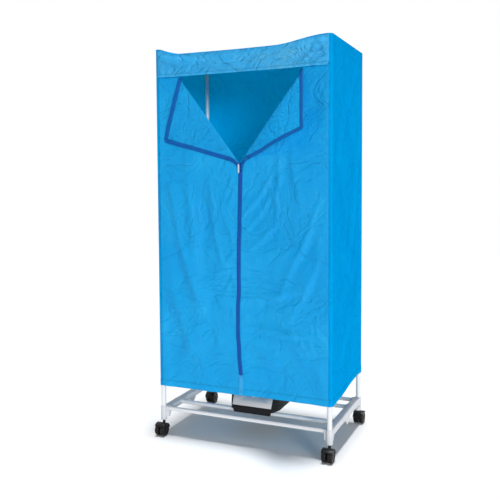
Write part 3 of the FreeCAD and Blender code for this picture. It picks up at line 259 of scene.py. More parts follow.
@dataclass(frozen=True)
class ClothFinish:
    """Light woven polyester: a fine plain weave, small crumples, sharp crinkles and a soft sheen, with lighter patches
    of a second colour at random over the base as painted sheen.
    """

    name: str
    base: Colour
    # Lighter second colour, mixed in patches at random: painted sheen, standing in for the highlights on the folds.
    patch_colour: Colour
    weave_pitch: float = 0.0011
    crumple: float = 0.0020
    rough: float = 0.52
    through: Colour = (0.002, 0.90, 0.93)
    through_share: float = 0.34
    stitches: tuple[float, ...] = ()
    sheen: float = 0.28
    # Size of the painted sheen's wide patches, per metre of cut.
    sheen_patch_scale: float = 3.2
    mottle_scale: float = 24.0
    weave_height: float = 0.00006
    stitch_pitch: float = 0.0032
    stitch_half_width: float = 0.0006
    stitch_depth: float = 0.0004
    stitch_shade: float = 0.72

    def material(self) -> bpy.types.Material:
        """Build the cloth's material.

        Returns:
            A material that reads the piece's own cut for its weave and its stitched lines.
        """
        graph = Graph(self.name)
        cut = graph.cloth_space()
        # Painted sheen: two noises pick where the lighter second colour shows.
        wide = graph.noise(cut, self.sheen_patch_scale, 3, 0.55, 0.4)
        small = graph.noise(cut, self.mottle_scale, 4, 0.6, 0.8)
        sheen_patch_mask = graph.math("MULTIPLY", graph.spread(wide, 0.0, 1.0), graph.spread(small, 0.30, 1.0))
        base = graph.blend(sheen_patch_mask, self.base, self.patch_colour)
        scale = math.pi / (10 * self.weave_pitch)
        warp = graph.stripes(cut, scale, "X")
        weft = graph.stripes(cut, scale, "Y")
        weave = graph.math("MULTIPLY", warp, weft)
        shade = graph.spread(weave, 0.93, 1.0, 0.0, 0.5)
        dark = add_node(graph.tree, "ShaderNodeVectorMath", {0: base, "Scale": shade}, operation="SCALE")
        surface = dark.outputs["Vector"]
        layers = [
            (graph.noise(cut, 15, 5, 0.55, 0.9), self.crumple * 1.6),
            (self.crinkle(graph, cut, 6.5, 0.055), self.crumple * 0.95),
            (self.crinkle(graph, cut, 15.0, 0.090), self.crumple * 0.40),
            (graph.noise(cut, 55, 3, 0.6, 1.2), self.crumple * 0.45),
            (weave, self.weave_height),
        ]
        for line in self.stitches:
            mask = self.stitch(graph, cut, line)
            surface = graph.blend(mask, surface, dim(self.base, self.stitch_shade))
            layers.append((graph.math("SUBTRACT", 1.0, mask), self.stitch_depth))
        graph.colour(surface)
        graph.roughness(graph.spread(small, self.rough - 0.06, self.rough + 0.06))
        graph.plain("Specular IOR Level", self.sheen)
        graph.relief(layers)
        graph.let_through(self.through, self.through_share)
        return graph.material

    def crinkle(self, graph: Graph, cut: bpy.types.NodeSocket, scale: float, reach: float) -> bpy.types.NodeSocket:
        """Sharp creases along the level lines of a noise.

        Args:
            graph: the tree to add to.
            cut: the cut's coordinates.
            scale: size of the noise.
            reach: how far a crease spreads to either side, in units of the noise.

        Returns:
            0 in a crease and 1 beside it.
        """
        level = graph.noise(cut, scale, 3, 0.55, 1.4)
        beside = graph.math("ABSOLUTE", graph.math("SUBTRACT", level, 0.5))
        return graph.spread(beside, 0.0, 1.0, 0.0, reach)

    def stitch(self, graph: Graph, cut: bpy.types.NodeSocket, line: float) -> bpy.types.NodeSocket:
        """Mask of one row of stitches.

        Args:
            graph: the tree to add to.
            cut: the cut's coordinates.
            line: height of the row on the cut, in metres.

        Returns:
            1 on a stitch and 0 beside it.
        """
        parts = add_node(graph.tree, "ShaderNodeSeparateXYZ", {"Vector": cut})
        beside = graph.math("ABSOLUTE", graph.math("SUBTRACT", parts.outputs["Y"], line))
        near = graph.math("LESS_THAN", beside, self.stitch_half_width)
        along = graph.math("FRACT", graph.math("MULTIPLY", parts.outputs["X"], 1 / self.stitch_pitch))
        return graph.math("MULTIPLY", near, graph.math("LESS_THAN", along, 0.72))


@dataclass(frozen=True)
class CoatedTubeFinish:
    """Steel tube under a light silver coating."""

    name: str = "silver_coated_tube"
    base: Colour = srgb(233, 235, 238)
    metal: float = 0.12
    rough: float = 0.38

    def material(self) -> bpy.types.Material:
        """Build the coated tube's material."""
        graph = Graph(self.name)
        space = graph.object_space()
        fleck = graph.noise(space, 900, 2, 0.5)
        drift = graph.noise(space, 9, 3, 0.5)
        tint = graph.blend(graph.spread(fleck, 0.0, 1.0), self.base, dim(self.base, 0.86))
        graph.colour(tint)
        graph.plain("Metallic", self.metal)
        graph.roughness(graph.spread(drift, self.rough - 0.05, self.rough + 0.08))
        graph.relief([(graph.noise(space, 420, 3, 0.5), 0.00004)])
        return graph.material


@dataclass(frozen=True)
class MouldedFinish:
    """Moulded plastic with a fine grain, and flecks where the plastic has them."""

    name: str
    base: Colour
    fleck: Colour
    rough: float = 0.5
    grain: float = 0.00005
    fleck_scale: float = 700.0
    gloss_coat: float = 0.0
    gloss: float = 0.5

    def material(self) -> bpy.types.Material:
        """Build the moulded plastic's material."""
        graph = Graph(self.name)
        space = graph.object_space()
        flecks = graph.noise(space, self.fleck_scale, 2, 0.7)
        clouds = graph.noise(space, 14, 3, 0.55)
        speckled = graph.blend(graph.spread(flecks, 0.0, 1.0, 0.46, 0.66), self.base, self.fleck)
        patch_colour = graph.blend(graph.spread(clouds, 0.0, 0.18), speckled, self.fleck)
        graph.colour(patch_colour)
        graph.plain("Specular IOR Level", self.gloss)
        graph.roughness(graph.spread(clouds, self.rough - 0.06, self.rough + 0.08))
        graph.plain("Coat Weight", self.gloss_coat)
        graph.relief([(graph.noise(space, 1500, 2, 0.6), self.grain)])
        return graph.material


@dataclass(frozen=True)
class BrushedPlateFinish:
    """Thin metal plate brushed across its width."""

    name: str = "brushed_silver_plate"
    base: Colour = srgb(205, 205, 207)
    rough: float = 0.36
    metal: float = 0.75

    def material(self) -> bpy.types.Material:
        """Build the brushed plate's material."""
        graph = Graph(self.name)
        strokes = graph.noise(graph.object_space((4, 900, 900)), 1.0, 4, 0.65)
        space = graph.object_space()
        smudge = graph.noise(space, 22, 3, 0.5)
        tint = graph.blend(graph.spread(strokes, 0.0, 1.0), self.base, dim(self.base, 0.8))
        graph.colour(tint)
        graph.plain("Metallic", self.metal)
        graph.roughness(graph.math(
            "ADD", graph.spread(strokes, self.rough - 0.05, self.rough + 0.05), graph.spread(smudge, 0.0, 0.06)))
        graph.relief([(strokes, 0.00004)])
        return graph.material


@dataclass(frozen=True)
class BareMetalFinish:
    """Turned or pressed metal with faint rings and dull patches."""

    name: str
    base: Colour
    rough: float = 0.3
    metal: float = 1.0

    def material(self) -> bpy.types.Material:
        """Build the bare metal's material."""
        graph = Graph(self.name)
        space = graph.object_space()
        rings = graph.noise(graph.object_space((60, 60, 900)), 1.0, 3, 0.6)
        patches = graph.noise(space, 60, 3, 0.6)
        graph.colour(graph.blend(graph.spread(patches, 0.0, 1.0), self.base, dim(self.base, 0.82)))
        graph.plain("Metallic", self.metal)
        graph.roughness(graph.spread(patches, self.rough - 0.05, self.rough + 0.12))
        graph.relief([(rings, 0.00003)])
        return graph.material


@dataclass(frozen=True)
class LensFinish:
    """Tinted clear plastic, unlit."""

    name: str = "amber_lens"
    base: Colour = srgb(214, 120, 40)

    def material(self) -> bpy.types.Material:
        """Build the lens's material."""
        graph = Graph(self.name)
        space = graph.object_space()
        swirl = graph.noise(space, 380, 2, 0.5)
        graph.colour(graph.blend(graph.spread(swirl, 0.0, 1.0), self.base, dim(self.base, 0.75)))
        graph.plain("Roughness", 0.12)
        graph.plain("Coat Weight", 0.5)
        graph.relief([(swirl, 0.00002)])
        return graph.material


# ---------------------------------------------------------------- meshes in general

def add_piece(name: str, mesh: bmesh.types.BMesh, finish: bpy.types.Material, body: str | None,
              replaced: Sequence[str] = (), smooth: bool = True) -> bpy.types.Object:
    """Turn a finished bmesh into a piece that rides on a body.

    Args:
        name: the piece's name.
        mesh: the bmesh, which is freed.
        finish: its material.
        body: the CAD body that it moves with, or None for a piece that rides on no body.
        replaced: CAD nodes that it stands for.
        smooth: whether its faces are shaded smooth.

    Returns:
        The new object, at the origin.
    """
    data = bpy.data.meshes.new(name)
    mesh.to_mesh(data)
    mesh.free()
    for polygon in data.polygons:
        polygon.use_smooth = smooth
    data.materials.append(finish)
    piece = bpy.data.objects.new(name, data)
    bpy.context.scene.collection.objects.link(piece)
    if body:
        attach(piece, body)
    if replaced:
        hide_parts(*replaced)
    LOG.info("%s: %d faces on %s", name, len(data.polygons), body)
    return piece


def keep_hard(piece: bpy.types.Object, degrees: float) -> None:
    """Shade edges sharper than an angle as hard edges."""
    split = piece.modifiers.new("hard_shading", "EDGE_SPLIT")
    split.split_angle = math.radians(degrees)


def dress_node(name: str, finish: bpy.types.Material, angle: float = 32.0) -> bpy.types.Object:
    """Give a CAD node its finish and shade its round faces smooth.

    Args:
        name: the node.
        finish: its material.
        angle: faces that meet at more than this many degrees keep a hard edge.

    Returns:
        The node's object.
    """
    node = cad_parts[name]
    node.data.materials.clear()
    node.data.materials.append(finish)
    for polygon in node.data.polygons:
        polygon.material_index = 0
        polygon.use_smooth = True
    weld = node.modifiers.new("weld", "WELD")
    weld.merge_threshold = 0.00002
    keep_hard(node, angle)
    return node


def thicken(piece: bpy.types.Object, thickness: float, offset: float = 0.0) -> None:
    """Give a sheet its thickness.

    Args:
        piece: the sheet.
        thickness: in metres.
        offset: -1 keeps the cut face outside, 1 inside, 0 in the middle.
    """
    wall = piece.modifiers.new("cloth_thickness", "SOLIDIFY")
    wall.thickness = thickness
    wall.offset = offset
    wall.use_rim = True


@dataclass(frozen=True)
class Crease:
    """A soft ridge in the cloth, between two points of the cut."""

    start: tuple[float, float]
    end: tuple[float, float]
    width: float
    height: float
    lean: float = 0.6

    def rise(self, across: float, up: float) -> float:
        """Height of the ridge at a point of the cut.

        Args:
            across: first coordinate, in metres.
            up: second coordinate, in metres.

        Returns:
            The ridge's height there, in metres.
        """
        run = (self.end[0] - self.start[0], self.end[1] - self.start[1])
        length = math.hypot(*run)
        direction = (run[0] / length, run[1] / length)
        offset = (across - self.start[0], up - self.start[1])
        along = (offset[0] * direction[0] + offset[1] * direction[1]) / length
        beside = offset[0] * direction[1] - offset[1] * direction[0]
        beside += 0.35 * self.width * math.sin(along * 7.0 + self.start[0] * 40)
        if along < -0.35 or along > 1.35 or abs(beside) > 5 * self.width:
            return 0.0
        taper = math.exp(-max(0.0, -along, along - 1.0) ** 2 / 0.02)
        taper *= 0.35 + 0.65 * math.sin(math.pi * min(1.0, max(0.0, along)))
        crown = math.exp(-abs(beside / self.width) ** 1.3)
        valley = math.exp(-((beside - 1.6 * self.width) / (1.5 * self.width)) ** 2)
        return self.height * taper * (crown - self.lean * valley)


def rumple(across: float, up: float, seed: float, scale: float, octaves: int = 3) -> float:
    """Smooth unevenness of hanging cloth, in the range -1 to 1.

    Args:
        across: first coordinate of the cut, in metres.
        up: second coordinate of the cut, in metres.
        seed: picks one pattern.
        scale: features per metre.
        octaves: finer layers that are added.
    """
    point = Vector((across * scale + seed, up * scale * 0.62 - seed, seed * 0.37))
    return noise.fractal(point, 0.9, 2.1, octaves, noise_basis="PERLIN_ORIGINAL")


def ease(value: float, start: float, end: float) -> float:
    """0 before start, 1 after end and a smooth step between them."""
    share = min(1.0, max(0.0, (value - start) / (end - start)))
    return share * share * (3 - 2 * share)


def hem_rise(up: float) -> float:
    """How far the folded hem stands proud at a height over its edge, in metres."""
    return HEM_STEP * (1 - ease(up, *HEM_FOLD))


def grid(width: float, height: float, columns: int, rows: int) -> bmesh.types.BMesh:
    """A flat grid of squares from (0, 0) to (width, height)."""
    mesh = bmesh.new()
    bmesh.ops.create_grid(mesh, x_segments=columns, y_segments=rows, size=0.5)
    bmesh.ops.translate(mesh, verts=mesh.verts, vec=(0.5, 0.5, 0))
    bmesh.ops.scale(mesh, verts=mesh.verts, vec=(width, height, 1))
    return mesh


def cloth_grid(width: float, height: float, step: float) -> bmesh.types.BMesh:
    """A flat cut of cloth from (0, 0) to (width, height) in XY.

    Args:
        width: size along X in metres.
        height: size along Y in metres.
        step: length of one square in metres.

    Returns:
        A bmesh in the XY plane.
    """
    return grid(width, height, max(1, round(width / step)), max(1, round(height / step)))


def keep_side(mesh: bmesh.types.BMesh, point: Vector, normal: Vector) -> None:
    """Cut a flat sheet along a line and drop what lies on the normal's side.

    Args:
        mesh: the sheet.
        point: a point on the line.
        normal: direction of the part that goes.
    """
    geometry = list(mesh.verts) + list(mesh.edges) + list(mesh.faces)
    bmesh.ops.bisect_plane(mesh, geom=geometry, plane_co=point, plane_no=normal, clear_outer=True, dist=1e-6)


def round_corner(mesh: bmesh.types.BMesh, centre: Vector, reach: float, quadrant: tuple[int, int]) -> None:
    """Cut one corner of a flat sheet off in three steps.

    Args:
        mesh: the sheet.
        centre: middle of the corner's curve.
        reach: distance of the cuts from it.
        quadrant: signs of the corner's direction along X and Y.
    """
    for turn in (22.5, 45, 67.5):
        angle = math.radians(turn)
        direction = Vector((quadrant[0] * math.cos(angle), quadrant[1] * math.sin(angle), 0))
        keep_side(mesh, centre + direction * reach, direction)


def hang(mesh: bmesh.types.BMesh, place: Callable[[Vector], Vector], mirrored: bool = False) -> None:
    """Keep a flat sheet's cut as its UVs, then bring the sheet into its shape.

    Args:
        mesh: the flat sheet.
        place: gives a flat point its place in space.
        mirrored: whether the shape turns the sheet's face inwards, so that the faces are turned back.
    """
    layer = mesh.loops.layers.uv.new("cut")
    for face in mesh.faces:
        for loop in face.loops:
            loop[layer].uv = loop.vert.co.xy
    for vertex in mesh.verts:
        vertex.co = place(vertex.co)
    if mirrored:
        bmesh.ops.reverse_faces(mesh, faces=mesh.faces)


def lathe(profile: Sequence[tuple[float, float]], axis: Vector, centre: Vector, steps: int = 48,
          start: Vector | None = None) -> bmesh.types.BMesh:
    """Spin a profile once round an axis.

    Args:
        profile: (along the axis, distance from it) pairs in metres.
        axis: unit direction of the axis.
        centre: the point on the axis where along is 0.
        steps: steps of the spin.
        start: unit direction, square to the axis, in which the profile lies.

    Returns:
        A bmesh with its normals outwards.
    """
    mesh = bmesh.new()
    side = start if start is not None else axis.orthogonal().normalized()
    points = [mesh.verts.new(centre + axis * along + side * radius) for along, radius in profile]
    edges = [mesh.edges.new(pair) for pair in zip(points, points[1:])]
    bmesh.ops.spin(
        mesh, geom=points + edges, cent=centre, axis=axis, angle=math.tau, steps=steps, use_merge=True)
    bmesh.ops.remove_doubles(mesh, verts=mesh.verts, dist=1e-6)
    bmesh.ops.recalc_face_normals(mesh, faces=mesh.faces)
    return mesh


def in_metres(profile_mm: Sequence[tuple[float, float]]) -> list[tuple[float, float]]:
    """A profile written in millimetres, in metres."""
    return [(along * MM, radius * MM) for along, radius in profile_mm]


def stand(axes: tuple[Vector, Vector, Vector], place: Vector) -> Matrix:
    """The matrix that turns X, Y and Z into three axes and moves the origin to a place."""
    matrix = Matrix(axes).transposed().to_4x4()
    matrix.translation = place
    return matrix


def slab(low: Vector, high: Vector) -> bmesh.types.BMesh:
    """A box between two corners, to be bevelled or cut."""
    mesh = bmesh.new()
    bmesh.ops.create_cube(mesh, size=1.0)
    bmesh.ops.scale(mesh, verts=mesh.verts, vec=high - low)
    bmesh.ops.translate(mesh, verts=mesh.verts, vec=(high + low) / 2)
    return mesh


def join_meshes(first: bmesh.types.BMesh, others: Iterable[bmesh.types.BMesh]) -> bmesh.types.BMesh:
    """Add several bmeshes to the first one and free them."""
    for other in others:
        data = bpy.data.meshes.new("joining")
        other.to_mesh(data)
        other.free()
        first.from_mesh(data)
        bpy.data.meshes.remove(data)
    return first


# ---------------------------------------------------------------- the palette

@dataclass
class Palette:
    """Every finish of the cabinet, built once."""

    front_blue: Colour = (0.0006, 0.400, 0.885)
    # Painted shade: the side, back and top cloth take a shaded copy of the front's blue.
    shade_blue: Colour = (0.0004, 0.388, 0.895)
    # The lighter second blue of each cloth, here and below, is painted sheen, mixed in patches at random.
    sheen_patch_blue: Colour = (0.018, 0.520, 0.970)
    side_sheen_patch_blue: Colour = (0.0012, 0.455, 0.960)
    pale_blue: Colour = (0.030, 0.480, 0.965)
    pale_sheen_patch_blue: Colour = (0.140, 0.620, 0.990)
    binding_blue: Colour = srgb(0, 84, 178)
    binding_sheen_patch: Colour = srgb(12, 100, 196)
    made: dict[str, bpy.types.Material] = field(default_factory=dict)

    def build(self) -> None:
        """Make all the materials."""
        finishes = {
            "front_cloth": ClothFinish("front_cloth", self.front_blue, self.sheen_patch_blue, stitches=HEM_LINES),
            # Side, back and top cloth: a shaded copy of the front cloth, painted shade, with its sheen turned off.
            "side_cloth": ClothFinish("side_cloth", self.shade_blue, self.side_sheen_patch_blue, stitches=HEM_LINES,
                                      sheen=0.0),
            "top_cloth": ClothFinish("top_cloth", self.shade_blue, self.side_sheen_patch_blue, through_share=0.06, sheen=0.0),
            "flap_cloth": ClothFinish("flap_cloth", self.front_blue, self.sheen_patch_blue, crumple=0.0030),
            "valance_cloth": ClothFinish(
                "valance_cloth", self.pale_blue, self.pale_sheen_patch_blue, crumple=0.0034, stitches=(0.010, 0.012)),
            "binding": ClothFinish("binding", self.binding_blue, self.binding_sheen_patch, weave_pitch=0.0014,
                                   crumple=0.0004, rough=0.7, stitches=(0.0025,)),
            "tube": CoatedTubeFinish(),
            "end_frame": MouldedFinish("speckled_grey", srgb(214, 217, 221), srgb(184, 188, 194), rough=0.46),
            "castor": MouldedFinish("castor_black", srgb(13, 13, 14), srgb(26, 26, 28), rough=0.38, gloss=0.18),
            "tread": MouldedFinish("tread_black", srgb(12, 12, 13), srgb(30, 30, 32), rough=0.34, fleck_scale=300,
                                   gloss=0.18),
            "heater_black": MouldedFinish("heater_black", srgb(17, 17, 18), srgb(30, 30, 32), rough=0.5,
                                          grain=0.00008, gloss=0.2),
            "plate": BrushedPlateFinish(),
            "steel": BareMetalFinish("bright_steel", srgb(190, 190, 192)),
            "fins": BareMetalFinish("fin_aluminium", srgb(206, 207, 210), rough=0.4),
            "motor": BareMetalFinish("motor_can", srgb(92, 93, 96), rough=0.45, metal=0.8),
            "fan": MouldedFinish("fan_black", srgb(52, 52, 54), srgb(70, 70, 72), rough=0.45),
            "knob": MouldedFinish("pale_knob", srgb(214, 216, 219), srgb(198, 200, 204), rough=0.28, gloss_coat=0.3),
            "lens": LensFinish(),
            "zip_metal": MouldedFinish("pale_zip_metal", srgb(205, 214, 222), srgb(176, 188, 200), rough=0.3,
                                       gloss_coat=0.2),
            "teeth": MouldedFinish("zip_teeth", srgb(0, 66, 160), srgb(20, 92, 190), rough=0.35),
        }
        for name, finish in finishes.items():
            self.made[name] = finish.material()
            LOG.info("finish %s", name)

    def __getitem__(self, name: str) -> bpy.types.Material:
        """The material of one finish."""
        return self.made[name]


# ---------------------------------------------------------------- the cloth cover

@dataclass
class FrontCloth:
    """How the front of the cover hangs: its creases, its uneven zip and its fold lines."""

    mid_y: float = FRONT_Y + 0.001
    crease_gain: float = 1.75
    slack: tuple[float, float, float] = (3.1, 3.2, 0.0075)
    ripple: tuple[float, float, float] = (8.4, 11.0, 0.0036)
    tucked: float = 0.0030
    hem_wave: float = 0.0035
    zip_sway: tuple[tuple[float, float], ...] = (
        (0.277, 0.000), (0.36, -0.006), (0.44, -0.011), (0.52, -0.011), (0.62, -0.007), (0.74, -0.004),
        (0.86, -0.001), (0.95, 0.003), (1.02, 0.005), (1.060, 0.000),
    )
    creases: tuple[Crease, ...] = (
        Crease((-0.30, 0.98), (-0.20, 0.62), 0.016, 0.0038),
        Crease((-0.13, 1.02), (-0.075, 0.66), 0.013, 0.0034),
        Crease((-0.22, 1.06), (-0.19, 0.72), 0.014, 0.0026),
        Crease((-0.32, 0.86), (-0.10, 0.42), 0.022, 0.0042),
        Crease((-0.33, 0.62), (-0.16, 0.30), 0.026, 0.0040),
        Crease((-0.06, 0.86), (-0.02, 0.76), 0.008, 0.0028),
        Crease((-0.09, 0.74), (-0.02, 0.62), 0.008, 0.0022),
        Crease((0.015, 0.86), (0.13, 1.02), 0.008, 0.0034),
        Crease((0.02, 0.80), (0.12, 0.93), 0.007, 0.0026),
        Crease((0.04, 0.74), (0.17, 0.86), 0.008, 0.0024),
        Crease((0.15, 1.08), (0.145, 0.84), 0.011, 0.0034),
        Crease((0.20, 1.12), (0.23, 0.90), 0.014, 0.0030),
        Crease((0.17, 0.60), (0.31, 0.92), 0.013, 0.0044),
        Crease((0.21, 0.52), (0.33, 0.76), 0.011, 0.0032),
        Crease((0.02, 0.455), (0.335, 0.440), 0.009, 0.0040),
        Crease((0.05, 0.56), (0.24, 0.60), 0.012, 0.0024),
        Crease((0.03, 0.40), (0.20, 0.30), 0.020, 0.0026),
        Crease((0.20, 0.42), (0.33, 0.28), 0.022, 0.0030),
        Crease((-0.17, 0.98), (-0.125, 0.60), 0.030, -0.0050),
        Crease((-0.10, 0.60), (-0.13, 0.34), 0.034, -0.0046),
        Crease((-0.03, 1.03), (-0.06, 0.94), 0.006, 0.0030),
        Crease((-0.02, 0.98), (-0.05, 0.90), 0.005, 0.0026),
        Crease((-0.02, 0.74), (-0.05, 0.70), 0.006, 0.0030),
        Crease((-0.02, 0.66), (-0.06, 0.58), 0.006, 0.0030),
        Crease((0.235, 0.42), (0.265, 0.37), 0.006, 0.0030),
        Crease((0.255, 0.44), (0.285, 0.38), 0.006, 0.0026),
        Crease((0.16, 0.90), (0.10, 1.00), 0.010, 0.0030),
    )

    def sway(self, z: float) -> float:
        """Sideways wander of the zip at a height.

        Args:
            z: height in metres.

        Returns:
            The zip's distance from the middle, in metres.
        """
        if z <= self.zip_sway[0][0] or z >= self.zip_sway[-1][0]:
            return 0.0
        for (low, first), (high, second) in zip(self.zip_sway, self.zip_sway[1:]):
            if low <= z <= high:
                return first + (second - first) * ease(z, low, high)
        return 0.0

    def fold_distance(self, x: float, z: float) -> float:
        """Distance of a point of the front from the nearer fold line, positive on the cloth's side."""
        slope = Vector((FOLD_HEAD_X, FOLD_HEAD_Z - FOLD_FOOT.z)).normalized()
        return abs(x) * slope.y - (z - FOLD_FOOT.z) * slope.x

    def out(self, x: float, z: float) -> float:
        """How far the cloth stands out from its plane, in metres."""
        rise = self.crease_gain * sum(crease.rise(x, z) for crease in self.creases)
        for seed, scale, height in (self.slack, self.ripple):
            rise += height * rumple(x, z, seed, scale)
        keep = ease(POST_X - abs(x), 0.0, 0.045)
        keep *= ease(self.fold_distance(x, z), 0.0, 0.05) if z > FOLD_FOOT.z - 0.05 else 1.0
        keep *= 1.0 - 0.75 * ease(z, 1.30, 1.37)
        rise *= keep
        covered = ease(z, 1.09, 1.15) * ease(abs(x), 0.03, 0.08)
        rise -= self.tucked * covered * keep * (1.0 if x < 0 else 0.4)
        loose = 1.0 - ease(z, HEM_Z, HEM_Z + 0.10)
        rise += self.hem_wave * loose * keep * rumple(x, 0.0, 1.7, 7.0, 2)
        return rise + hem_rise(z - HEM_Z)

    def place(self, x: float, z: float, lift: float = 0.0) -> Vector:
        """Place in space of a point of the flat front.

        Args:
            x: sideways place on the flat cloth.
            z: height on the flat cloth.
            lift: distance in front of the cloth.

        Returns:
            The point, in metres.
        """
        shift = self.sway(z) * math.exp(-abs(x) / 0.09)
        return Vector((x + shift, self.mid_y - self.out(x, z) - lift, z))


@dataclass
class Cover:
    """The fixed panels of the cloth cover, its valance and its seams."""

    palette: Palette
    front: FrontCloth = field(default_factory=FrontCloth)
    step: float = 0.0065
    side_columns: int = 86
    side_step: float = 0.008
    back_step: float = 0.010
    top_step: float = 0.009
    valance_step: float = 0.0045
    side_gain: float = 1.5
    valance_gain: float = 1.6
    rear_hem_lift: float = 0.020
    seam: float = 0.006
    sag_edge_x: float = 0.337
    sag_ramps: tuple[float, float] = (0.070, 0.200)
    sag_depth: float = 0.0108
    front_sag: float = 0.0145
    rear_rise: float = 0.0035
    placket_width: float = 0.017
    welt_radius: float = 0.0011
    welt_x: float = 0.3403
    welt_head_z: float = 1.4975
    side_creases: tuple[Crease, ...] = (
        Crease((0.33, 1.22), (0.10, 0.86), 0.030, 0.0030),
        Crease((0.40, 0.94), (0.22, 0.42), 0.026, 0.0034),
        Crease((0.05, 0.70), (0.30, 0.36), 0.034, 0.0026),
        Crease((0.05, 0.30), (0.40, 0.46), 0.022, 0.0028),
        Crease((0.12, 1.10), (0.36, 1.02), 0.028, 0.0022),
        Crease((0.30, 0.28), (0.12, 0.10), 0.024, 0.0024),
    )

    def build(self) -> None:
        """Make every fixed piece of the cover."""
        for side in Side:
            self.front_panel(side)
            self.side_panel(side)
            self.head_strip(side)
            for y in (-1, 1):
                self.corner_welt(side, y)
            self.top_welt(side)
        self.back_panel()
        self.top_panel()
        self.valance()
        self.placket()

    def front_panel(self, side: Side) -> None:
        """One half of the front, cut back to the fold line and to the zip."""
        height = FOLD_HEAD_Z - HEM_Z
        mesh = cloth_grid(POST_X - ZIP_GAP, height, self.step)
        bmesh.ops.translate(mesh, verts=mesh.verts, vec=(ZIP_GAP, 0, 0))
        slope = Vector((FOLD_HEAD_X, FOLD_HEAD_Z - FOLD_FOOT.z, 0)).normalized()
        keep_side(mesh, Vector((0.0, FOLD_FOOT.z - HEM_Z, 0)), Vector((-slope.y, slope.x, 0)))
        hang(mesh, lambda co: self.front.place(side.value * co.x, co.y + HEM_Z), side is Side.LEFT)
        name = f"front_cloth_{side.word}"
        piece = add_piece(name, mesh, self.palette["front_cloth"], "cabinet", [f"cover_front_{side.word}"])
        thicken(piece, CLOTH_THICK)

    def head_strip(self, side: Side) -> None:
        """The strip of the front behind the valance."""
        width, height = POST_X, HEAD_STRIP_TOP_Z - FOLD_HEAD_Z
        mesh = cloth_grid(width, height, 0.02)
        hang(mesh, lambda co: Vector((
            side.value * co.x, self.front.mid_y,
            co.y + FOLD_HEAD_Z - self.sag(side.value * co.x, -OUTER_Y) * ease(co.y, 0, height))), side is Side.LEFT)
        piece = add_piece(f"front_head_{side.word}", mesh, self.palette["front_cloth"], "cabinet")
        thicken(piece, CLOTH_THICK)

    def around_corner(self, along: float, side: Side, out: float) -> tuple[float, float]:
        """Plan of a side panel, which wraps both of its posts.

        Args:
            along: distance along the cloth from its front seam.
            side: which side panel.
            out: distance outwards from the cloth's plane.

        Returns:
            X and Y in metres.
        """
        arc = math.pi / 2 * CORNER_RADIUS
        straight = 2 * (OUTER_Y - CORNER_RADIUS)
        radius = CORNER_RADIUS - CLOTH_THICK / 2
        centre_x, centre_y = OUTER_X - CORNER_RADIUS, OUTER_Y - CORNER_RADIUS
        if along < arc:
            turn = along / CORNER_RADIUS
            x, y = centre_x + (radius + out) * math.sin(turn), -centre_y - (radius + out) * math.cos(turn)
        elif along < arc + straight:
            x, y = centre_x + radius + out, -centre_y + along - arc
        else:
            turn = (along - arc - straight) / CORNER_RADIUS
            x, y = centre_x + (radius + out) * math.cos(turn), centre_y + (radius + out) * math.sin(turn)
        return side.value * x, y

    def side_panel(self, side: Side) -> None:
        """One side of the cover with the two round corners over its posts."""
        length = math.pi * CORNER_RADIUS + 2 * (OUTER_Y - CORNER_RADIUS)
        height = CLOTH_TOP_Z - HEM_Z
        mesh = grid(length, height, self.side_columns, round(height / self.side_step))

        def place(co: Vector) -> Vector:
            """Bend the flat side round the posts."""
            inner = min(co.x, length - co.x) - math.pi / 2 * CORNER_RADIUS
            keep = ease(inner, 0.0, 0.05) * (1 - ease(co.y, height - 0.08, height))
            out = self.side_gain * sum(crease.rise(co.x, co.y) for crease in self.side_creases) * keep
            out += (0.0050 * rumple(co.x, co.y, 5.5 + side.value, 3.0) - 0.0014) * keep
            out += 0.0014 * rumple(co.x, co.y, 2.5, 12.0, 2) * keep
            out += hem_rise(co.y)
            x, y = self.around_corner(co.x, side, out)
            return Vector((x, y, co.y + HEM_Z + self.hem_lift(co.x / length, co.y / height)))

        hang(mesh, place, side is Side.LEFT)
        name = f"side_cloth_{side.word}"
        piece = add_piece(name, mesh, self.palette["side_cloth"], "cabinet", [f"cover_side_{side.word}"])
        thicken(piece, CLOTH_THICK)

    def back_panel(self) -> None:
        """The back of the cover."""
        width, height = 2 * (OUTER_X - CORNER_RADIUS), CLOTH_TOP_Z - HEM_Z
        mesh = cloth_grid(width, height, self.back_step)

        def place(co: Vector) -> Vector:
            """Hang the flat back between its posts."""
            x = co.x - width / 2
            keep = ease(width / 2 - abs(x), 0.0, 0.06) * (1 - ease(co.y, height - 0.08, height))
            out = 0.0060 * rumple(x, co.y, 12.2, 2.6) * keep
            out += 0.0016 * rumple(x, co.y, 4.9, 10.0, 2) * keep
            out += hem_rise(co.y)
            return Vector((-x, OUTER_Y - 0.001 + out, co.y + HEM_Z + self.hem_lift(1.0, co.y / height)))

        hang(mesh, place)
        piece = add_piece("back_cloth", mesh, self.palette["side_cloth"], "cabinet", ["cover_back"])
        thicken(piece, CLOTH_THICK)

    def hem_lift(self, back: float, up: float) -> float:
        """How far the cover has ridden up, most at the rear of its hem, in metres.

        Args:
            back: share of the depth, 0 at the front.
            up: share of the height, 0 at the hem.
        """
        return self.rear_hem_lift * ease(back, 0.0, 1.0) * (1 - up) ** 2

    def sag(self, x: float, y: float) -> float:
        """How far the top has sunk between the end bars, in metres.

        Args:
            x: sideways place.
            y: depth.

        Returns:
            The drop below the end bars.
        """
        across = ease(self.sag_edge_x - abs(x), 0.0, self.sag_ramps[0 if x < 0 else 1])
        belly = 0.80 + 0.20 * math.cos(math.pi / 2 * x / 0.34)
        front = self.front_sag * ease(-y, 0.13, OUTER_Y)
        return across * belly * (self.sag_depth + front - self.rear_rise * ease(y, 0.12, OUTER_Y))

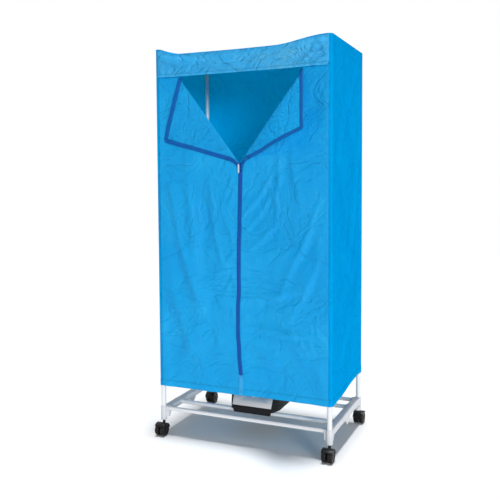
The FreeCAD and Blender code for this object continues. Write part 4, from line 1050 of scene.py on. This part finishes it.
    def top_panel(self) -> None:
        """The top of the cover, sunk a little between the end bars."""
        width, depth = 2 * OUTER_X, 2 * OUTER_Y + 0.0023
        mesh = cloth_grid(width, depth, self.top_step)
        bmesh.ops.translate(mesh, verts=mesh.verts, vec=(-width / 2, -depth + OUTER_Y, 0))
        for x in (-1, 1):
            for y in (-1, 1):
                centre = Vector((x * (OUTER_X - CORNER_RADIUS), y * (OUTER_Y - CORNER_RADIUS), 0))
                round_corner(mesh, centre, CORNER_RADIUS * 1.02, (x, y))

        def place(co: Vector) -> Vector:
            """Lay the flat top over the end bars."""
            drop = self.sag(co.x, co.y)
            wave = 0.0016 * rumple(co.x, co.y, 9.3, 6.0) * ease(0.33 - abs(co.x), 0.0, 0.05)
            return Vector((co.x, co.y, TOP_Z - 0.0008 - drop + min(0.0, wave)))

        hang(mesh, place)
        piece = add_piece("top_cloth", mesh, self.palette["top_cloth"], "cabinet", ["cover_top"])
        thicken(piece, CLOTH_THICK)

    def valance(self) -> None:
        """The band over the head of the front, gathered at its right end."""
        width = 2 * POST_X
        height = CLOTH_TOP_Z - VALANCE_FOOT_Z
        mesh = cloth_grid(width, height, self.valance_step)
        for x, radius in ((-1, 0.006), (1, 0.018)):
            round_corner(mesh, Vector((width / 2 + x * (width / 2 - radius), radius, 0)), radius * 1.01, (x, -1))
        gathers = (
            Crease((0.235, 0.012), (0.325, 0.085), 0.008, 0.0032),
            Crease((0.262, 0.010), (0.332, 0.060), 0.006, 0.0030),
            Crease((0.285, 0.004), (0.337, 0.038), 0.006, 0.0030),
            Crease((0.305, 0.090), (0.337, 0.030), 0.006, 0.0034),
            Crease((0.180, 0.030), (0.300, 0.095), 0.010, 0.0024),
            Crease((-0.05, 0.020), (0.060, 0.070), 0.014, 0.0022),
            Crease((-0.30, 0.075), (-0.10, 0.060), 0.010, 0.0020),
            Crease((-0.20, 0.040), (-0.02, 0.050), 0.009, 0.0016),
        )

        def place(co: Vector) -> Vector:
            """Hang the flat band from the front edge of the top."""
            x = co.x - width / 2
            top = ease(co.y, height - 0.03, height)
            out = self.valance_gain * sum(crease.rise(x, co.y) for crease in gathers)
            out += 0.0026 * rumple(x, co.y, 6.6, 7.5) + 0.0020
            out *= (1 - top) * ease(POST_X - abs(x), 0.0, 0.012)
            drop = self.sag(x, -OUTER_Y) * (0.06 + 0.94 * ease(co.y, 0, height))
            end = ease(abs(x), 0.325, 0.340)
            return Vector((x, FRONT_Y - 0.0011 - max(out, -0.0003) + 0.0004 * end, VALANCE_FOOT_Z + co.y - drop))

        hang(mesh, place)
        piece = add_piece("valance_cloth", mesh, self.palette["valance_cloth"], "cabinet", ["valance"])
        thicken(piece, CLOTH_THICK)

    def placket(self) -> None:
        """The stitched patch below the zip's stop."""
        width, height = self.placket_width, ZIP_FOOT_Z - HEM_Z - 0.004
        mesh = cloth_grid(width, height, 0.004)
        hang(mesh, lambda co: self.front.place(co.x - width / 2, co.y + HEM_Z + 0.002, 0.0014))
        piece = add_piece("zip_placket", mesh, self.palette["valance_cloth"], "cabinet")
        thicken(piece, 0.0008)

    def corner_welt(self, side: Side, depth: int) -> None:
        """A thin welted seam where a side panel meets the front or the back."""
        foot = HEM_Z + 0.001 + (self.rear_hem_lift if depth > 0 else 0.0)
        place = Vector((side.value * self.welt_x, depth * (OUTER_Y - 0.0002), foot))
        where = "front" if depth < 0 else "back"
        self.welt(f"corner_welt_{where}_{side.word}", self.welt_head_z - foot, Vector((0, 0, 1)), place)

    def top_welt(self, side: Side) -> None:
        """The seam between a side panel and the top."""
        place = Vector((side.value * (OUTER_X - 0.0006), -0.2, TOP_Z - 0.0014))
        self.welt(f"top_welt_{side.word}", 0.4, Vector((0, 1, 0)), place)

    def welt(self, name: str, length: float, axis: Vector, place: Vector) -> None:
        """A straight thin roll of cloth along an axis, from a place."""
        profile = [(0.0, 0.0), (0.0, self.welt_radius), (length, self.welt_radius), (length, 0.0)]
        add_piece(name, lathe(profile, axis, place, steps=8), self.palette["side_cloth"], "cabinet")


@dataclass
class Flap:
    """One corner of the front, folded out along its fold line, with its half of the zip."""

    palette: Palette
    side: Side
    lift: float
    step: float = 0.006
    tape: float = TAPE_WIDTH
    head_room: float = 0.006
    cut_share: float = 0.94
    tail_foot: tuple[float, float, float] = (0.0042, 1.030, 0.0020)

    def frame(self) -> tuple[Vector, Vector, Vector]:
        """Directions along the fold line, down the flap and out of its face."""
        along = Vector((self.side.value * FOLD_HEAD_X, 0, FOLD_HEAD_Z - FOLD_FOOT.z)).normalized()
        inside = Vector((-self.side.value * along.z, 0, abs(along.x)))
        turn = math.radians(180 - self.lift)
        down = inside * math.cos(turn) + Vector((0, -1, 0)) * math.sin(turn)
        face = along.cross(down) if self.side is Side.LEFT else down.cross(along)
        return along, down, face

    def place(self, along: float, down: float, lift: float = 0.0) -> Vector:
        """Place in space of a point of the flat flap.

        Args:
            along: distance up the fold line from its foot.
            down: distance from the fold line.
            lift: distance out of the flap's face.

        Returns:
            The point, in metres.
        """
        direction, fall, face = self.frame()
        roll = 0.0022
        bow = 0.0050 * rumple(along, down, 2.3 + self.side.value, 5.0) * ease(down, 0.01, 0.06)
        bow += 0.0040 * math.sin(math.pi * min(1.0, down / 0.20)) * ease(along, 0.02, 0.2)
        if self.lift < 5:
            bow = max(bow, 0.0) + 0.0018 * ease(down, 0.0, 0.02)
        rise = roll * (1 - ease(down, 0.0, 0.006)) * 0.3
        return FOLD_FOOT + direction * along + fall * down + face * (bow + rise + lift + 0.0009)

    def build(self) -> None:
        """Make the flap's cloth, its fold and its binding."""
        self.cloth()
        self.fold_roll()
        self.binding()
        self.tail()

    def corner(self) -> tuple[float, float]:
        """The flap's outer corner, as (along, down)."""
        rise = FOLD_HEAD_Z - FOLD_FOOT.z
        return rise * rise / FOLD_LENGTH, rise * FOLD_HEAD_X / FOLD_LENGTH

    def cloth(self) -> None:
        """The flap's triangle of cloth."""
        tip_along, tip_down = self.corner()
        mesh = cloth_grid(FOLD_LENGTH, tip_down, self.step)
        inset = 0.004
        low_edge = Vector((tip_along, tip_down, 0)).normalized()
        keep_side(mesh, Vector((low_edge.y, -low_edge.x, 0)) * inset, Vector((-low_edge.y, low_edge.x, 0)))
        head_edge = Vector((tip_along - FOLD_LENGTH, tip_down, 0)).normalized()
        outwards = Vector((head_edge.y, -head_edge.x, 0))
        keep_side(mesh, Vector((FOLD_LENGTH, 0, 0)) - outwards * (inset + self.head_room), outwards)
        keep_side(mesh, Vector((0.024, 0, 0)), Vector((-1, 0, 0)))
        hang(mesh, lambda co: self.place(co.x, co.y))
        bmesh.ops.recalc_face_normals(mesh, faces=mesh.faces)
        piece = add_piece(f"flap_cloth_{self.side.word}", mesh, self.palette["flap_cloth"],
                          f"flap_{self.side.word}", [f"flap_{self.side.word}"])
        thicken(piece, CLOTH_THICK)

    def fold_roll(self) -> None:
        """The rounded fold along the flap's hinge line."""
        direction, _, _ = self.frame()
        profile = [(0.006, 0.0), (0.008, 0.0013), (FOLD_LENGTH - 0.004, 0.0013), (FOLD_LENGTH - 0.002, 0.0)]
        mesh = lathe(profile, direction, FOLD_FOOT, steps=10)
        add_piece(f"fold_roll_{self.side.word}", mesh, self.palette["flap_cloth"], f"flap_{self.side.word}")

    def edge_path(self) -> list[Vector]:
        """Middle line of the binding: up the lower edge, round the corner and up the outer edge."""
        tip = Vector(self.corner())
        foot, head = Vector((0, 0)), Vector((FOLD_LENGTH, 0))
        low = (tip - foot).normalized()
        high = (head - tip).normalized()
        inset = self.tape / 2
        low_in = Vector((low.y, -low.x)) * inset
        high_in = Vector((high.y, -high.x)) * (inset + self.head_room)
        round_off = 0.020
        start = foot + low_in + low * 0.052
        points = [start]
        before, after = tip + low_in - low * round_off, tip + high_in + high * round_off
        turn_point = tip + (low_in + high_in) * 0.78
        for step in range(9):
            share = step / 8
            points.append(before * (1 - share) ** 2 + turn_point * 2 * share * (1 - share) + after * share ** 2)
        points.append(head + high_in - high * 0.006)
        return points

    def binding(self) -> None:
        """The dark half of the zip along the flap's two free edges."""
        path = self.edge_path()
        strip = Ribbon(path, self.tape)
        mesh = strip.mesh(0.005, 4)
        hang(mesh, lambda co: self.place(*strip.at(co.x, co.y), lift=BINDING_PROUD))
        bmesh.ops.recalc_face_normals(mesh, faces=mesh.faces)
        piece = add_piece(f"flap_binding_{self.side.word}", mesh, self.palette["binding"],
                          f"flap_{self.side.word}")
        thicken(piece, BINDING_THICK)

    def tail(self) -> None:
        """The short curve of binding between the zip's head and the flap."""
        start = self.place(*self.edge_path()[0], lift=BINDING_PROUD)
        beside, height, proud = self.tail_foot
        foot = FrontCloth().place(self.side.value * beside, height, proud)
        tip_along, tip_down = self.corner()
        ahead = (self.place(tip_along, tip_down) - self.place(0, 0)).normalized()
        up = Vector((0, 0, 1))
        handle = 0.030
        width = self.tape * 0.62
        count = 12
        mesh = cloth_grid(1.0, 1.0, 1 / count)

        def place(co: Vector) -> Vector:
            """Bend the short strip from upright to the flap's edge."""
            t = co.x
            points = (foot, foot + up * handle, start - ahead * handle, start)
            weights = ((1 - t) ** 3, 3 * t * (1 - t) ** 2, 3 * t * t * (1 - t), t ** 3)
            middle = sum((point * weight for point, weight in zip(points, weights)), Vector())
            slopes = (-3 * (1 - t) ** 2, 3 * (1 - t) ** 2 - 6 * t * (1 - t), 6 * t * (1 - t) - 3 * t * t, 3 * t * t)
            heading = sum((point * slope for point, slope in zip(points, slopes)), Vector()).normalized()
            across = heading.cross(Vector((0, -1, 0))).normalized()
            broad = width + (self.tape - width) * ease(t, 0.2, 1.0)
            return middle + across * ((co.y - 0.5) * broad)

        hang(mesh, place)
        bmesh.ops.recalc_face_normals(mesh, faces=mesh.faces)
        piece = add_piece(f"binding_tail_{self.side.word}", mesh, self.palette["binding"], None)
        thicken(piece, BINDING_THICK)
        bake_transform(piece)


class Ribbon:
    """A flat strip of even width along a path."""

    def __init__(self, points: Sequence[Vector], width: float) -> None:
        """Measure the path.

        Args:
            points: corners of the path's middle line.
            width: the strip's width.
        """
        self.points = list(points)
        self.width = width
        self.runs = [(b - a).length for a, b in zip(self.points, self.points[1:])]
        self.length = sum(self.runs)

    def mesh(self, step: float, across: int) -> bmesh.types.BMesh:
        """A flat grid of the strip.

        Args:
            step: length of one square along the strip.
            across: squares over the width.

        Returns:
            A bmesh in the XY plane, from (0, 0) to (length, width).
        """
        return grid(self.length, self.width, max(2, round(self.length / step)), across)

    def at(self, along: float, across: float) -> tuple[float, float]:
        """Where a point of the strip lies in the plane of the path.

        Args:
            along: distance along the strip.
            across: distance over its width, from its left edge.

        Returns:
            The two coordinates.
        """
        rest = along
        index = 0
        while index < len(self.runs) - 1 and rest > self.runs[index]:
            rest -= self.runs[index]
            index += 1
        first, second = self.points[index], self.points[index + 1]
        heading = (second - first).normalized()
        share = rest / self.runs[index]
        before = (first - self.points[index - 1]).normalized() if index else heading
        last = index >= len(self.runs) - 1
        after = heading if last else (self.points[index + 2] - second).normalized()
        start_turn, end_turn = (before + heading).normalized(), (heading + after).normalized()
        direction = (start_turn * (1 - share) + end_turn * share).normalized()
        middle = first + heading * rest
        spot = middle + Vector((-direction.y, direction.x)) * (across - self.width / 2)
        return spot.x, spot.y


@dataclass
class Zip:
    """The closed zip: its woven tape, its teeth and its end stop."""

    palette: Palette
    front: FrontCloth = field(default_factory=FrontCloth)
    tape: float = TAPE_WIDTH
    pitch: float = 0.0030
    head_z: float = 1.052
    tape_head_z: float = 1.046
    tape_step: float = 0.0039
    proud: float = 0.0019

    def build(self) -> None:
        """Make the tape and the teeth, and dress the slider and its pull."""
        self.tape_strip()
        self.teeth()
        dress_node("zip_slider", self.palette["teeth"])
        dress_node("zip_pull", self.palette["zip_metal"])

    def tape_strip(self) -> None:
        """Both halves of the tape, side by side."""
        height = self.tape_head_z - ZIP_FOOT_Z
        mesh = cloth_grid(self.tape, height, self.tape_step)
        hang(mesh, lambda co: self.front.place(co.x - self.tape / 2, co.y + ZIP_FOOT_Z, 0.0010))
        piece = add_piece("zip_tape", mesh, self.palette["binding"], "cabinet", ["zip_chain"])
        thicken(piece, 0.0008)

    def teeth(self) -> None:
        """Interlocked teeth up the middle of the tape."""
        rows = []
        half_tooth = Vector((0.0017, 0.0007, self.pitch * 0.34))
        half_stop = Vector((0.0042, 0.0009, 0.0016))
        for index in range(int((self.head_z - ZIP_FOOT_Z) / self.pitch)):
            side = 1 if index % 2 else -1
            middle = self.front.place(side * 0.0009, ZIP_FOOT_Z + (index + 0.5) * self.pitch, self.proud)
            rows.append(slab(middle - half_tooth, middle + half_tooth))
        mesh = join_meshes(rows[0], rows[1:])
        stop = self.front.place(0.0, ZIP_FOOT_Z - 0.0005, self.proud)
        bar = slab(stop - half_stop, stop + half_stop)
        bmesh.ops.bevel(bar, geom=list(bar.edges), offset=0.0004, segments=1, affect="EDGES", profile=0.5,
                        material=-1)
        join_meshes(mesh, [bar])
        add_piece("zip_teeth", mesh, self.palette["teeth"], "cabinet", smooth=False)


# ---------------------------------------------------------------- the frame and its castors

@dataclass
class TubeFrame:
    """Posts, rails, moulded end frames and top end bars."""

    palette: Palette
    leg_top_z: float = 0.111

    def build(self) -> None:
        """Finish every solid of the frame."""
        for side in Side:
            frame_node = dress_node(f"end_frame_{side.word}", self.palette["end_frame"])
            round_node(frame_node, 0.0009)
            dress_node(f"top_end_bar_{side.word}", self.palette["end_frame"])
        for corner in Corner:
            dress_node(f"lower_post_{corner.word}", self.palette["tube"])
            dress_node(f"upper_post_{corner.word}", self.palette["tube"])
            self.ferrule(corner)
        for name in ("front_rail", "heater_rail_front", "heater_rail_rear", "rear_rail",
                     "hanging_rail_front", "hanging_rail_rear"):
            dress_node(name, self.palette["tube"])

    def ferrule(self, corner: Corner) -> None:
        """A rounded lip where a post enters its leg."""
        side_x, side_y = corner.value
        centre = Vector((side_x * POST_X, side_y * POST_Y, self.leg_top_z))
        profile = [(-0.0005, 0.0098), (-0.0005, 0.0116), (0.0010, 0.0118), (0.0020, 0.0112), (0.0024, 0.0100),
                   (0.0022, 0.0096)]
        mesh = lathe(profile, Vector((0, 0, 1)), centre, steps=40)
        piece = add_piece(f"post_lip_{corner.word}", mesh, self.palette["end_frame"], "cabinet")
        thicken(piece, 0.0003, 1)


def round_node(node: bpy.types.Object, width: float) -> None:
    """Add a fine rounding to a dressed node's hard edges.

    Args:
        node: a node that dress_node() has finished.
        width: the rounding in metres.
    """
    bevel = node.modifiers.new("soft_edges", "BEVEL")
    bevel.width = width
    bevel.segments = 2
    bevel.limit_method = "ANGLE"
    bevel.angle_limit = math.radians(40)
    split = node.modifiers.find("hard_shading")
    node.modifiers.move(node.modifiers.find("soft_edges"), split)


@dataclass
class Castor:
    """One twin-wheel castor, with dished wheels under its hood."""

    palette: Palette
    corner: Corner
    trail: float = 0.018
    axle_z: float = 0.024

    def build(self) -> None:
        """Finish the hood and make both wheels."""
        round_node(dress_node(f"castor_hood_{self.corner.word}", self.palette["castor"]), 0.0004)
        for index, letter in ((-1, "a"), (1, "b")):
            self.wheel(index, letter)

    def axle(self) -> Vector:
        """Middle of the castor's axle."""
        side_x, side_y = self.corner.value
        return Vector((side_x * POST_X, side_y * (POST_Y + self.trail), self.axle_z))

    def wheel(self, index: int, letter: str) -> None:
        """One wheel: a rounded tread, a dished face with two rings and a domed cap.

        Args:
            index: side of the wheel along X.
            letter: letter of the wheel in the solids' names.
        """
        profile_mm = [
            (15.4, 0.0), (15.4, 2.7), (3.7, 2.7), (3.7, 21.6), (4.2, 23.0), (5.4, 23.95), (16.4, 23.95),
            (18.0, 23.5), (19.3, 22.5), (20.1, 21.0), (20.35, 19.6), (20.1, 18.9), (19.4, 18.5), (18.7, 17.2),
            (18.5, 14.2), (18.9, 13.8), (18.9, 13.0), (18.5, 12.6), (18.4, 8.2), (18.7, 7.6), (19.8, 7.2),
            (20.2, 6.4), (20.45, 4.0), (20.5, 0.0),
        ]
        mesh = lathe(in_metres(profile_mm), Vector((index, 0, 0)), self.axle(), steps=56)
        body = f"wheel_{self.corner.word}_{letter}"
        node = f"castor_wheel_{self.corner.word}_{letter}"
        piece = add_piece(f"{node}_shown", mesh, self.palette["tread"], body, [node])
        keep_hard(piece, 40)


# ---------------------------------------------------------------- the heater

@dataclass
class Heater:
    """Lift-off fan heater: its housing, front plate, dial, lens, grille and insides."""

    palette: Palette
    foot: Vector = Vector((0, -0.113, 0.124))
    rise: float = 0.078
    lean: float = 0.038
    dial_along: float = 0.056
    tick_radius: float = 0.0212
    lens_beside: float = 0.044

    def up(self) -> Vector:
        """Direction up the sloping front."""
        return Vector((0, self.lean, self.rise)).normalized()

    def out(self) -> Vector:
        """Direction out of the sloping front."""
        return Vector((0, -self.rise, self.lean)).normalized()

    def fitting(self, proud: float) -> Vector:
        """The dial's middle on the front plate, at a distance out of it."""
        return self.foot + self.up() * self.dial_along + self.out() * proud

    def build(self) -> None:
        """Finish the heater's solids and add its small fittings."""
        for name, finish, rounding in (
            ("heater_base", "heater_black", 0.0007), ("heater_shell", "heater_black", 0.0007),
            ("heater_front_panel", "plate", 0.0004), ("outlet_grille", "heater_black", 0.0),
            ("heating_element", "fins", 0.0), ("fan_motor", "motor", 0.0), ("fan_impeller", "fan", 0.0),
            ("power_inlet", "heater_black", 0.0003),
        ):
            node = dress_node(name, self.palette[finish])
            if rounding:
                round_node(node, rounding)
        self.dial()
        self.dial_ring()
        self.lens_dome()

    def dial(self) -> None:
        """The dial: a skirt with a bevelled rim and a grip across it, with its pointer groove painted as a thin black
        strip.
        """
        out, up = self.out(), self.up()
        across = up.cross(out)
        centre = self.fitting(0.0024)
        profile_mm = [(-11.5, 0.0), (-11.5, 2.95), (0.0, 2.95), (0.0, 18.8), (0.5, 19.0), (2.3, 18.8), (3.2, 18.0),
                      (3.5, 16.9), (3.5, 0.0)]
        skirt = lathe(in_metres(profile_mm), out, centre, steps=72, start=across)
        grip = slab(Vector((-0.0045, -0.0163, 0.0030)), Vector((0.0045, 0.0163, 0.0123)))
        for vertex in grip.verts:
            if vertex.co.z > 0.006:
                vertex.co.x *= 0.72
                vertex.co.y *= 0.90
        bmesh.ops.bevel(grip, geom=list(grip.edges), offset=0.0012, segments=3, profile=0.6, affect="EDGES")
        turn = stand((across, up, out), centre)
        grip.transform(turn)
        join_meshes(skirt, [grip])
        piece = add_piece("timer_dial", skirt, self.palette["knob"], "knob", ["timer_knob"])
        keep_hard(piece, 38)
        # Painted shade: a thin black strip on the grip where the pointer groove is.
        groove_shade_strip = slab(Vector((-0.0006, 0.0085, 0.0120)), Vector((0.0006, 0.0140, 0.01245)))
        groove_shade_strip.transform(turn)
        add_piece("dial_pointer", groove_shade_strip, self.palette["heater_black"], "knob", smooth=False)

    def dial_ring(self) -> None:
        """Raised ticks round the dial, without figures."""
        out, up = self.out(), self.up()
        across = up.cross(out)
        centre = self.fitting(0.002)
        ticks = []
        count = 13
        for index in range(count):
            turn = math.radians(-150 + 300 * index / (count - 1))
            heading = up * math.cos(turn) + across * math.sin(turn)
            beside = across * math.cos(turn) - up * math.sin(turn)
            long = 0.0030 if index % 3 == 0 else 0.0018
            tick = slab(Vector((-0.00035, 0, 0)), Vector((0.00035, long, 0.00012)))
            tick.transform(stand((beside, heading, out), centre + heading * self.tick_radius))
            ticks.append(tick)
        add_piece("dial_ticks", join_meshes(ticks[0], ticks[1:]), self.palette["heater_black"], "heater",
                  smooth=False)

    def lens_dome(self) -> None:
        """The indicator's domed lens in its thin bezel."""
        out = self.out()
        centre = self.fitting(0.002) + Vector((self.lens_beside, 0, 0))
        profile_mm = [(-4.4, 0.0), (-4.4, 3.5), (0.0, 3.5), (0.0, 4.2), (0.5, 4.15), (1.1, 3.5), (1.5, 2.2),
                      (1.6, 0.0)]
        mesh = lathe(in_metres(profile_mm), out, centre, steps=40)
        add_piece("lens_dome", mesh, self.palette["lens"], "heater", ["indicator_lens"])
        bezel_mm = [(0.0, 4.2), (0.0, 5.1), (0.7, 5.0), (0.9, 4.5), (0.5, 4.2)]
        bezel = lathe(in_metres(bezel_mm), out, centre, steps=40)
        add_piece("lens_bezel", bezel, self.palette["heater_black"], "heater")


# ---------------------------------------------------------------- floor, light and camera

@dataclass
class Studio:
    """A pale floor under a white backdrop, plain soft light and the photograph's camera."""

    floor_tone: float = 0.88
    floor_half: float = 7.0
    even_light: float = 0.26
    lamp_table: tuple[tuple[str, float, float, tuple[float, float, float]], ...] = (
        ("key", 1.85, 18, (-0.66, 0.70, -0.14)),
        ("top", 2.75, 7, (-0.020, 0.000, -1.0)),
    )
    camera_place: tuple[float, float, float] = (1.0269, -2.4661, 0.9892)
    camera_yaw: float = 0.4122
    camera_pitch: float = 0.0618
    camera_roll: float = -0.0061
    lens_mm: float = 48.63
    shift_up: float = -0.05

    def build(self) -> None:
        """Make the stage."""
        self.floor()
        self.world()
        self.lamps()
        self.camera()
        bpy.context.scene.view_settings.view_transform = "Standard"

    def floor(self) -> None:
        """A wide plain floor that shows white where nothing shades it."""
        mesh = bmesh.new()
        bmesh.ops.create_grid(mesh, x_segments=4, y_segments=4, size=self.floor_half)
        data = bpy.data.meshes.new("floor")
        mesh.to_mesh(data)
        mesh.free()
        plane = bpy.data.objects.new("floor", data)
        bpy.context.scene.collection.objects.link(plane)
        material = bpy.data.materials.new("pale_floor")
        tree = empty_tree(material)
        diffuse = add_node(tree, "ShaderNodeBsdfDiffuse", {"Color": (self.floor_tone,) * 3})
        add_node(tree, "ShaderNodeOutputMaterial", {"Surface": diffuse.outputs[0]})
        data.materials.append(material)

    def world(self) -> None:
        """White to the camera, in reflections and through clear parts, an even grey light on everything else."""
        world = bpy.data.worlds.new("studio")
        bpy.context.scene.world = world
        tree = empty_tree(world)
        path = add_node(tree, "ShaderNodeLightPath")
        seen = path.outputs["Is Camera Ray"]
        for kind in ("Is Glossy Ray", "Is Transmission Ray"):
            seen = add_node(tree, "ShaderNodeMath", {0: seen, 1: path.outputs[kind]}, operation="MAXIMUM").outputs[0]
        level = add_node(tree, "ShaderNodeMapRange", {"Value": seen, "To Min": self.even_light, "To Max": 1.0})
        background = add_node(tree, "ShaderNodeBackground", {"Color": (1, 1, 1), "Strength": level.outputs["Result"]})
        add_node(tree, "ShaderNodeOutputWorld", {"Surface": background.outputs[0]})

    def lamps(self) -> None:
        """A low key light behind the right shoulder, and a light overhead for the shadow."""
        for name, strength, spread, aim in self.lamp_table:
            light = bpy.data.lights.new(name, "SUN")
            light.energy = strength
            light.angle = math.radians(spread)
            lamp = bpy.data.objects.new(name, light)
            lamp.rotation_euler = Vector(aim).to_track_quat("-Z", "Y").to_euler()
            bpy.context.scene.collection.objects.link(lamp)

    def camera(self) -> None:
        """The photograph's standpoint, worked out from the cover's corners."""
        yaw, pitch, roll = self.camera_yaw, self.camera_pitch, self.camera_roll
        ahead = Vector((-math.sin(yaw) * math.cos(pitch), math.cos(yaw) * math.cos(pitch), -math.sin(pitch)))
        right = Vector((math.cos(yaw), math.sin(yaw), 0))
        up = right.cross(ahead)
        turned_right = right * math.cos(roll) + up * math.sin(roll)
        turned_up = up * math.cos(roll) - right * math.sin(roll)
        lens = bpy.data.cameras.new("photo_camera")
        lens.lens = self.lens_mm
        lens.sensor_width = 36.0
        lens.shift_y = self.shift_up
        lens.clip_end = 60
        holder = bpy.data.objects.new("photo_camera", lens)
        holder.matrix_world = stand((turned_right, turned_up, -ahead), Vector(self.camera_place))
        bpy.context.scene.collection.objects.link(holder)
        bpy.context.scene.camera = holder


# ---------------------------------------------------------------- the whole cabinet

def main() -> None:
    """Build the finishes, then each sub-assembly from the floor up, then the studio."""
    palette = Palette()
    palette.build()
    TubeFrame(palette).build()
    for corner in Corner:
        Castor(palette, corner).build()
    Heater(palette).build()
    Cover(palette).build()
    Flap(palette, Side.LEFT, lift=0.0).build()
    Flap(palette, Side.RIGHT, lift=34.0).build()
    Zip(palette).build()
    Studio().build()


if __name__ == "__main__":
    main()
